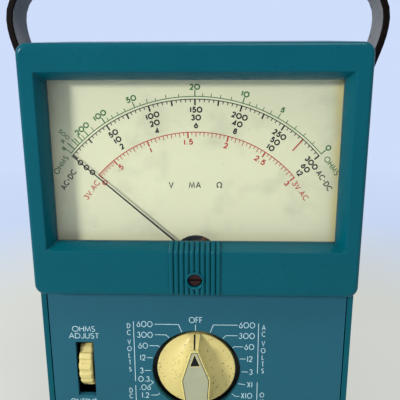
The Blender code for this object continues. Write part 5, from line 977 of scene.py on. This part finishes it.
def knob_form(outline):
    """Mesh of the knob: a lip round the inlay, flanks that flare to the rim, and a bored hub."""
    turns = knob_turns((outline, grown(outline, LIP_WIDTH)))
    top = KNOB_BAR_DEPTH
    rings = []

    def ring(radii, depth):
        pairs = zip(turns, radii)
        rings.append([knob_at(radius * sin(turn), depth, radius * cos(turn)) for turn, radius in pairs])

    def reaches(distance):
        shape = grown(outline, distance)
        return [outline_reach(shape, turn) for turn in turns]

    ring(reaches(0.0), top + GROOVE_DEPTH)
    ring(reaches(0.0), top + 0.05)
    ring(reaches(0.06), top)
    for step in range(5):
        turn = radians(90.0 * step / 4)
        ring(reaches(LIP_WIDTH - LIP_ROUND * (1 - sin(turn))), top + LIP_ROUND * (1 - cos(turn)))
    skirt = DISC_RADIUS - RIM_ROUND
    fall = KNOB_DISC_DEPTH - top - LIP_ROUND
    for step in range(1, FLARE_STEPS + 1):
        turn = radians(90.0 * step / FLARE_STEPS)
        flare = [between((side, skirt), 1 - cos(turn)) for side in reaches(LIP_WIDTH)]
        ring(flare, top + LIP_ROUND + fall * sin(turn))
    for step in range(1, 5):
        turn = radians(90.0 * step / 4)
        ring([skirt + RIM_ROUND * sin(turn)] * len(turns), KNOB_DISC_DEPTH + RIM_ROUND * (1 - cos(turn)))
    hub = (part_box("range_knob")[1].y - FACE_Y) / MM
    bore = (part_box("selector_shaft")[0].y - FACE_Y) / MM - BORE_GAP
    for radius, depth in (
        (DISC_RADIUS, KNOB_BACK_DEPTH), (HUB_RADIUS, KNOB_BACK_DEPTH), (HUB_RADIUS, hub), (SHAFT_HOLE, hub),
        (SHAFT_HOLE, bore),
    ):
        ring([radius] * len(turns), depth)
    form = bmesh.new()
    tube_between(form, rings, cap=True)
    return form


def ridge_face(share, across):
    """A place just over the ridge's front, from the rim to the bar's tip."""
    z = between((18.2, 13.6), share)
    depth = between((9.35, 1.25), share)
    return knob_at(across * (1.0 - 0.15 * share), depth - 0.05, z)


def ridge_section(share):
    """Section of the ridge between the rim and the bar's tip."""
    z, front, half = (between(ends, share) for ends in (RIDGE_Z, RIDGE_FRONT, RIDGE_HALF))
    inner, outer = half - RIDGE_ROUND, half + RIDGE_ROUND
    left = ((-outer, RIDGE_BACK), (-half, front + RIDGE_ROUND), (-inner, front))
    right = tuple((-x, depth) for x, depth in reversed(left))
    section = []
    for x, depth in left + right:
        section.append(knob_at(x, depth, min(z, RIDGE_BACK_Z) if depth == RIDGE_BACK else z))
    return section


FEET = ("foot_front_left", "foot_front_right", "foot_back_left", "foot_back_right")
JACKS = ("jack_output", "jack_common", "jack_positive", "jack_amps")
RIVETS = ("strap_rivet_left", "strap_rivet_right")


class MULTIMETER_OT_case(Operator):
    """Build the case, the front panel and the small outer fittings with rounded edges"""

    bl_idname = "multimeter.case"
    bl_label = "Case, panel and fittings"

    def execute(self, context):
        """Round the edges of each outer piece and give it its plastic or metal."""
        tints = context.scene.multimeter_colours
        # These plastics lighten their edges as wear and painted highlight; the shell and panel also darken
        # their hollows with painted shade.
        shell = surface("shell_plastic", tints.hood, 0.36, grain=0.22, grain_size=0.5, patch=24.0, edge_wear_and_highlight=0.35,
                        spots=0.25, shine=0.12, hollow_shade=0.6)
        matt = surface("panel_plastic", tints.panel, 0.62, grain=0.30, grain_size=0.35, mottle=0.07,
                       patch=16.0, edge_wear_and_highlight=0.15, spots=0.12, shine=0.22, hollow_shade=0.8)
        rubber = surface("foot_rubber", (0.016, 0.015, 0.014), 0.85, grain=0.5, grain_size=0.3, patch=5.0,
                         spots=0.2)
        metal = surface("rivet_metal", (0.50, 0.50, 0.49), 0.34, metal=1.0, grain=0.3, patch=3.0, spots=0.3)
        black = surface("jack_plastic", (0.018, 0.017, 0.017), 0.32, grain=0.15, patch=4.0, edge_wear_and_highlight=0.2)
        for names, material, width, slot in (
            (("rear_case",), shell, 0.0006, "teal_shell"),
            (("front_panel",), matt, 0.00025, "teal_panel"),
            (FEET, rubber, 0.0005, "foot"),
            (RIVETS, metal, 0.0003, "steel"),
            (JACKS, black, 0.0003, "dark_plastic"),
        ):
            for name in names:
                softened(name, material, width)
        return {"FINISHED"}


class MULTIMETER_OT_thumbwheel(Operator):
    """Build the grooved thumbwheel of the resistance adjuster"""

    bl_idname = "multimeter.thumbwheel"
    bl_label = "Thumbwheel"

    def execute(self, context):
        """Round the wheel's edges and teeth."""
        tints = context.scene.multimeter_colours
        # The wheel's plastic lightens its edges as wear and painted highlight, and darkens its grooves with
        # painted shade.
        cream = surface("wheel_plastic", tints.knob, 0.36, grain=0.10, patch=5.0, edge_wear_and_highlight=0.35, spots=0.3,
                        spot_colour=(0.08, 0.06, 0.02, 1.0), hollow_shade=0.5)
        softened("thumbwheel", cream, 0.0003, angle=22.0)
        return {"FINISHED"}


STRAP_SIDE_TILT = 0.35
STRAP_CENTRE_RISE = 0.02


class MULTIMETER_OT_strap(Operator):
    """Build the carry strap with its dark edges and a pitted inner face painted lighter for the sky's light
    on it
    """

    bl_idname = "multimeter.strap"
    bl_label = "Carry strap"

    def execute(self, context):
        """Round the strap's edges, give it the dark plastic, and paint the inner face lighter for the sky's
        light on it.
        """
        tints = context.scene.multimeter_colours
        # Painted light: the inner face is coloured a lighter grey for the sky's light falling on it.
        inner = surface("strap_inner_painted_light", tints.strap, 0.60, grain=0.8, grain_size=0.8, mottle=0.28, patch=8.0,
                        spots=0.75, spot_colour=(0.045, 0.038, 0.034, 1.0))
        edge = surface("strap_edge", tints.strap_edge, 0.45, grain=0.4, grain_size=0.5, mottle=0.25,
                       patch=6.0, spots=0.3, spot_colour=(0.03, 0.022, 0.015, 1.0), shine=0.05)
        strap = softened("carry_strap", edge, 0.0007, segments=4, angle=40.0)
        strap.data.materials.append(inner)
        low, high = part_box("carry_strap")
        middle = (low.y + high.y) / 2
        for face in strap.data.polygons:
            if abs(face.normal.y) < STRAP_SIDE_TILT and inward_face(face, middle):
                face.material_index = 1
        return {"FINISHED"}


def inward_face(face, middle):
    """Whether a face of the strap looks in towards the case."""
    centre = Vector((0.0, middle, JOINTS["handle_swing"]["pos_m"][2] + STRAP_CENTRE_RISE))
    return face.normal.dot(centre - face.center) > 0.0


STEEL_PIECES = (
    "core_magnet", "selector_shaft", "index_spring", "switch_tie_left", "switch_tie_right", "pot_bracket",
    "pot_body", "case_screw_low_left", "case_screw_low_right", "case_screw_high_left",
    "case_screw_high_right", "dial_screw_left", "dial_screw_right", "pot_shaft",
)
BRASS_PIECES = (
    "front_jewel_screw", "rear_jewel_screw", "front_hairspring", "rear_hairspring", "zero_lever",
    "index_wheel", "jack_output_nut", "jack_common_nut", "jack_positive_nut", "jack_amps_nut",
    "shaft_bushing",
)


class MULTIMETER_OT_inside(Operator):
    """Give every carried-over CAD node its procedural material"""

    bl_idname = "multimeter.inside"
    bl_label = "Carried-over pieces"

    def execute(self, context):
        """Assign the materials by node."""
        tints = context.scene.multimeter_colours
        dark = (0.020, 0.018, 0.017)
        # Wear on the black moulding and the cells below lightens their edges, partly as worn plastic and
        # partly as painted highlight.
        looks = (
            (("dial_plate",), dial_paint("dial_paint", tints.dial, tints.dial_stain)),
            (("meter_lens",), clear_plastic("lens_plastic")),
            (("pointer",), surface("needle_paint", (0.008, 0.007, 0.007), 0.5, grain=0.05, shine=0.15)),
            (("zero_screw",), surface(
                "screw_plastic", tints.adjuster, 0.28, grain=0.08, mottle=0.2, patch=2.0, shine=0.25)),
            (("moving_coil",), surface(
                "coil_winding", (0.36, 0.12, 0.035), 0.38, metal=0.6, grain=0.6, grain_size=0.2, patch=4.0)),
            (("chassis_plate", "front_bridge", "rear_bridge"), surface(
                "chassis_metal", (0.46, 0.47, 0.48), 0.38, metal=1.0, grain=0.2, patch=12.0)),
            (("field_ring",), surface(
                "ring_iron", (0.20, 0.19, 0.18), 0.55, metal=0.9, grain=0.4, spots=0.3,
                spot_colour=(0.20, 0.07, 0.03, 1.0))),
            (STEEL_PIECES, surface("bright_steel", (0.52, 0.52, 0.53), 0.30, metal=1.0, patch=6.0)),
            (BRASS_PIECES, surface("yellow_brass", (0.62, 0.43, 0.16), 0.30, metal=1.0, patch=5.0,
                                   spots=0.15)),
            (("switch_well",), surface("black_moulding", dark, 0.45, grain=0.25, patch=10.0, edge_wear_and_highlight=0.15)),
            (("front_wafer", "rear_wafer"), surface(
                "wafer_board", (0.24, 0.12, 0.045), 0.55, grain=0.4, grain_size=0.25, mottle=0.2,
                patch=6.0)),
            (("circuit_board",), surface(
                "circuit_laminate", (0.16, 0.16, 0.045), 0.48, grain=0.35, grain_size=0.3, mottle=0.22,
                patch=9.0)),
            (("film_capacitor",), surface("film_wrap", (0.50, 0.24, 0.03), 0.30, grain=0.12, patch=6.0)),
            (("fuse",), surface("fuse_glass", (0.50, 0.52, 0.50), 0.12, metal=0.2, grain=0.05, patch=4.0)),
            (("round_cell",), surface("cell_wrap", (0.05, 0.08, 0.16), 0.35, grain=0.10, patch=12.0,
                                      edge_wear_and_highlight=0.2)),
            (("flat_battery",), surface(
                "battery_wrap", (0.16, 0.035, 0.025), 0.38, grain=0.12, patch=12.0, edge_wear_and_highlight=0.2)),
        )
        left = set(frame["nodes"])
        for names, look in looks:
            for name in names:
                link_material(frame["nodes"][name], look)
                left.discard(name)
        rest = surface("moulded_plastic", dark, 0.5, grain=0.2)
        for name in sorted(left):
            link_material(frame["nodes"][name], rest)
        return {"FINISHED"}


def dial_paint(name, base, stain):
    """Aged cream dial paint: yellowed towards the right edge, with grey blooms and fine specks."""
    material = surface(name, base, 0.55, grain=0.12, grain_size=0.35, mottle=0.05, patch=26.0, spots=0.55,
                       spot_level=0.735, spot_colour=(0.16, 0.15, 0.10, 1.0))
    nodes, links = material.node_tree.nodes, material.node_tree.links
    shader = nodes["Principled BSDF"]
    shown = shader.inputs["Base Color"].links[0].from_socket
    place = nodes.new("ShaderNodeTexCoord")
    parts = nodes.new("ShaderNodeSeparateXYZ")
    links.new(place.outputs["Object"], parts.inputs["Vector"])
    edge = nodes.new("ShaderNodeMath")
    edge.operation = "MULTIPLY_ADD"
    edge.inputs[1].default_value = 0.006
    links.new(noise(nodes, links, 45.0), edge.inputs[0])
    links.new(parts.outputs["X"], edge.inputs[2])
    shown = laid_over(nodes, links, shown, edge.outputs["Value"], 0.0600, 0.0630, 0.65, tinted(stain, 1.0))
    blooms = noise(nodes, links, 62.0, 3.0)
    shown = laid_over(nodes, links, shown, blooms, 0.54, 0.76, 0.50, (0.47, 0.45, 0.31, 1.0))
    links.new(shown, shader.inputs["Base Color"])
    return material


def clear_plastic(name):
    """Clear plastic that lets light through and keeps a faint, slightly hazed gloss."""
    material = bpy.data.materials.new(name)
    material.use_nodes = True
    nodes, links = material.node_tree.nodes, material.node_tree.links
    nodes.remove(nodes["Principled BSDF"])
    clear = added(nodes, "BsdfTransparent", Color=(0.97, 0.985, 0.98, 1.0))
    gloss = nodes.new("ShaderNodeBsdfGlossy")
    facing = added(nodes, "LayerWeight", Blend=0.25)
    gleam = added(nodes, "MapRange", To_Min=0.008, To_Max=0.30)
    links.new(facing.outputs["Facing"], gleam.inputs["Value"])
    span = added(nodes, "MapRange", To_Min=0.05, To_Max=0.14)
    links.new(noise(nodes, links, 60.0), span.inputs["Value"])
    links.new(span.outputs["Result"], gloss.inputs["Roughness"])
    both = mixed(nodes, links, gleam.outputs["Result"], clear.outputs["BSDF"], gloss.outputs["BSDF"])
    links.new(both, nodes["Material Output"].inputs["Surface"])
    return material


FLOOR_REACH = 6.0
AIM_DEPTH = 30.0
# Each light with its place in metres and its side in metres.
LIGHTS = (("key_light", (-0.85, -0.86, 0.50), 0.20), ("top_light", (0.20, -0.40, 1.10), 0.50))
CAMERA_TURN = 1.963
CAMERA_TILT = 15.53
CAMERA_ROLL = 0.2345
CAMERA_PLACE = (10.28, -230.68, 94.0)


class MULTIMETER_OT_stage(Operator):
    """Add the floor, the lights and the camera at the photograph's viewing angle"""

    bl_idname = "multimeter.stage"
    bl_label = "Stage"

    def execute(self, context):
        """Build the stage."""
        scene = context.scene
        stage, tints = scene.multimeter_stage, scene.multimeter_colours
        form = bmesh.new()
        bmesh.ops.create_grid(form, x_segments=8, y_segments=8, size=FLOOR_REACH)
        floor = finished_piece("floor", form, floor_paint("floor_paint", tints.floor, tints.backdrop), None)
        middle = at(0.0, AIM_DEPTH, 0.0)
        for (name, place, size), power in zip(LIGHTS, (stage.key_power, stage.top_power)):
            data = bpy.data.lights.new(name, "AREA")
            data.shape = "SQUARE"
            data.size = size
            data.energy = power
            lamp = bpy.data.objects.new(name, data)
            scene.collection.objects.link(lamp)
            lamp.location = place
            lamp.rotation_mode = "QUATERNION"
            lamp.rotation_quaternion = (middle - Vector(place)).to_track_quat("-Z", "Y")
        scene.world = studio_sky(tints.backdrop, stage.sky_strength)
        scene.view_settings.view_transform = "Standard"
        place_camera(scene, stage.focal_length)
        return {"FINISHED"}


def studio_sky(backdrop, strength):
    """World of even light that looks like the backdrop where it is seen."""
    sky = bpy.data.worlds.new("studio")
    sky.use_nodes = True
    nodes, links = sky.node_tree.nodes, sky.node_tree.links
    even = nodes["Background"]
    even.inputs["Color"].default_value = (0.93, 0.96, 1.0, 1.0)
    even.inputs["Strength"].default_value = strength
    seen = added(nodes, "Background", Color=tinted(backdrop, 1.0))
    both = mixed(nodes, links, seen_rays(nodes, links), even.outputs["Background"],
                 seen.outputs["Background"])
    links.new(both, nodes["World Output"].inputs["Surface"])
    return sky


def seen_rays(nodes, links):
    """Share that is one for rays from the camera and for those seen in gloss or through clear pieces."""
    path = nodes.new("ShaderNodeLightPath")
    total = path.outputs["Is Camera Ray"]
    for kind in ("Is Glossy Ray", "Is Transmission Ray"):
        both = nodes.new("ShaderNodeMath")
        both.operation = "MAXIMUM"
        links.new(total, both.inputs[0])
        links.new(path.outputs[kind], both.inputs[1])
        total = both.outputs["Value"]
    return total


def floor_paint(name, near, far):
    """Pale floor that turns bluish further away, lifted for the camera and still shadowed."""
    material = surface(name, near, 0.85, grain_size=2.0, mottle=0.03, patch=120.0, shine=0.1)
    nodes, links = material.node_tree.nodes, material.node_tree.links
    shader = nodes["Principled BSDF"]
    place = nodes.new("ShaderNodeTexCoord")
    away = nodes.new("ShaderNodeVectorMath")
    away.operation = "LENGTH"
    links.new(place.outputs["Object"], away.inputs[0])
    shown = shader.inputs["Base Color"].links[0].from_socket
    shown = laid_over(nodes, links, shown, away.outputs["Value"], 0.20, 0.40, 1.0, tinted(far, 1.0))
    links.new(shown, shader.inputs["Base Color"])
    lift = nodes.new("ShaderNodeEmission")
    links.new(shown, lift.inputs["Color"])
    reach = added(nodes, "MapRange", From_Min=0.20, From_Max=0.70, To_Min=0.60)
    links.new(away.outputs["Value"], reach.inputs["Value"])
    share = nodes.new("ShaderNodeMath")
    share.operation = "MULTIPLY"
    links.new(reach.outputs["Result"], share.inputs[0])
    links.new(seen_rays(nodes, links), share.inputs[1])
    both = mixed(nodes, links, share.outputs["Value"], shader.outputs["BSDF"], lift.outputs["Emission"])
    links.new(both, nodes["Material Output"].inputs["Surface"])
    return material


def place_camera(scene, focal_length):
    """Camera where the photograph was taken, looking down at the dial and a little to the left."""
    turn, tilt, roll = (radians(angle) for angle in (CAMERA_TURN, CAMERA_TILT, CAMERA_ROLL))
    level = Vector((cos(turn), sin(turn), 0.0))
    ahead = Vector((-sin(turn) * cos(tilt), cos(turn) * cos(tilt), -sin(tilt)))
    up = level.cross(ahead)
    across = level * cos(roll) - up * sin(roll)
    up = level * sin(roll) + up * cos(roll)
    data = bpy.data.cameras.new("camera")
    data.lens = focal_length
    data.clip_start = 0.01
    camera = bpy.data.objects.new("camera", data)
    scene.collection.objects.link(camera)
    pose = Matrix((across, up, -ahead)).transposed().to_4x4()
    pose.translation = at(*CAMERA_PLACE)
    camera.matrix_world = pose
    scene.camera = camera


STEPS = (
    MULTIMETER_OT_inside,
    MULTIMETER_OT_hood,
    MULTIMETER_OT_dial,
    MULTIMETER_OT_panel,
    MULTIMETER_OT_knob,
    MULTIMETER_OT_case,
    MULTIMETER_OT_thumbwheel,
    MULTIMETER_OT_strap,
    MULTIMETER_OT_stage,
)


class MULTIMETER_PT_panel(Panel):
    """Sidebar panel that lists the pieces and their settings"""

    bl_label = "Multimeter"
    bl_idname = "MULTIMETER_PT_panel"
    bl_space_type = "VIEW_3D"
    bl_region_type = "UI"
    bl_category = "Multimeter"

    def draw(self, context):
        """List the operators, then the sizes, colours and stage settings."""
        for step in STEPS:
            self.layout.operator(step.bl_idname)
        scene = context.scene
        for group in (scene.multimeter_sizes, scene.multimeter_colours, scene.multimeter_stage):
            box = self.layout.box()
            for name in group.__annotations__:
                box.prop(group, name)


GROUPS = (MultimeterColours, MultimeterSizes, MultimeterStage)


def register():
    """Register the classes and hang the settings on the scene."""
    for kind in GROUPS + STEPS + (MULTIMETER_PT_panel,):
        bpy.utils.register_class(kind)
    bpy.types.Scene.multimeter_colours = PointerProperty(type=MultimeterColours)
    bpy.types.Scene.multimeter_sizes = PointerProperty(type=MultimeterSizes)
    bpy.types.Scene.multimeter_stage = PointerProperty(type=MultimeterStage)


def unregister():
    """Take the settings off the scene and unregister the classes."""
    del bpy.types.Scene.multimeter_stage
    del bpy.types.Scene.multimeter_sizes
    del bpy.types.Scene.multimeter_colours
    for kind in reversed(GROUPS + STEPS + (MULTIMETER_PT_panel,)):
        bpy.utils.unregister_class(kind)


def main():
    """Build every piece and the stage."""
    register()
    for step in STEPS:
        area, name = step.bl_idname.split(".")
        getattr(getattr(bpy.ops, area), name)()


if __name__ == "__main__":
    main()
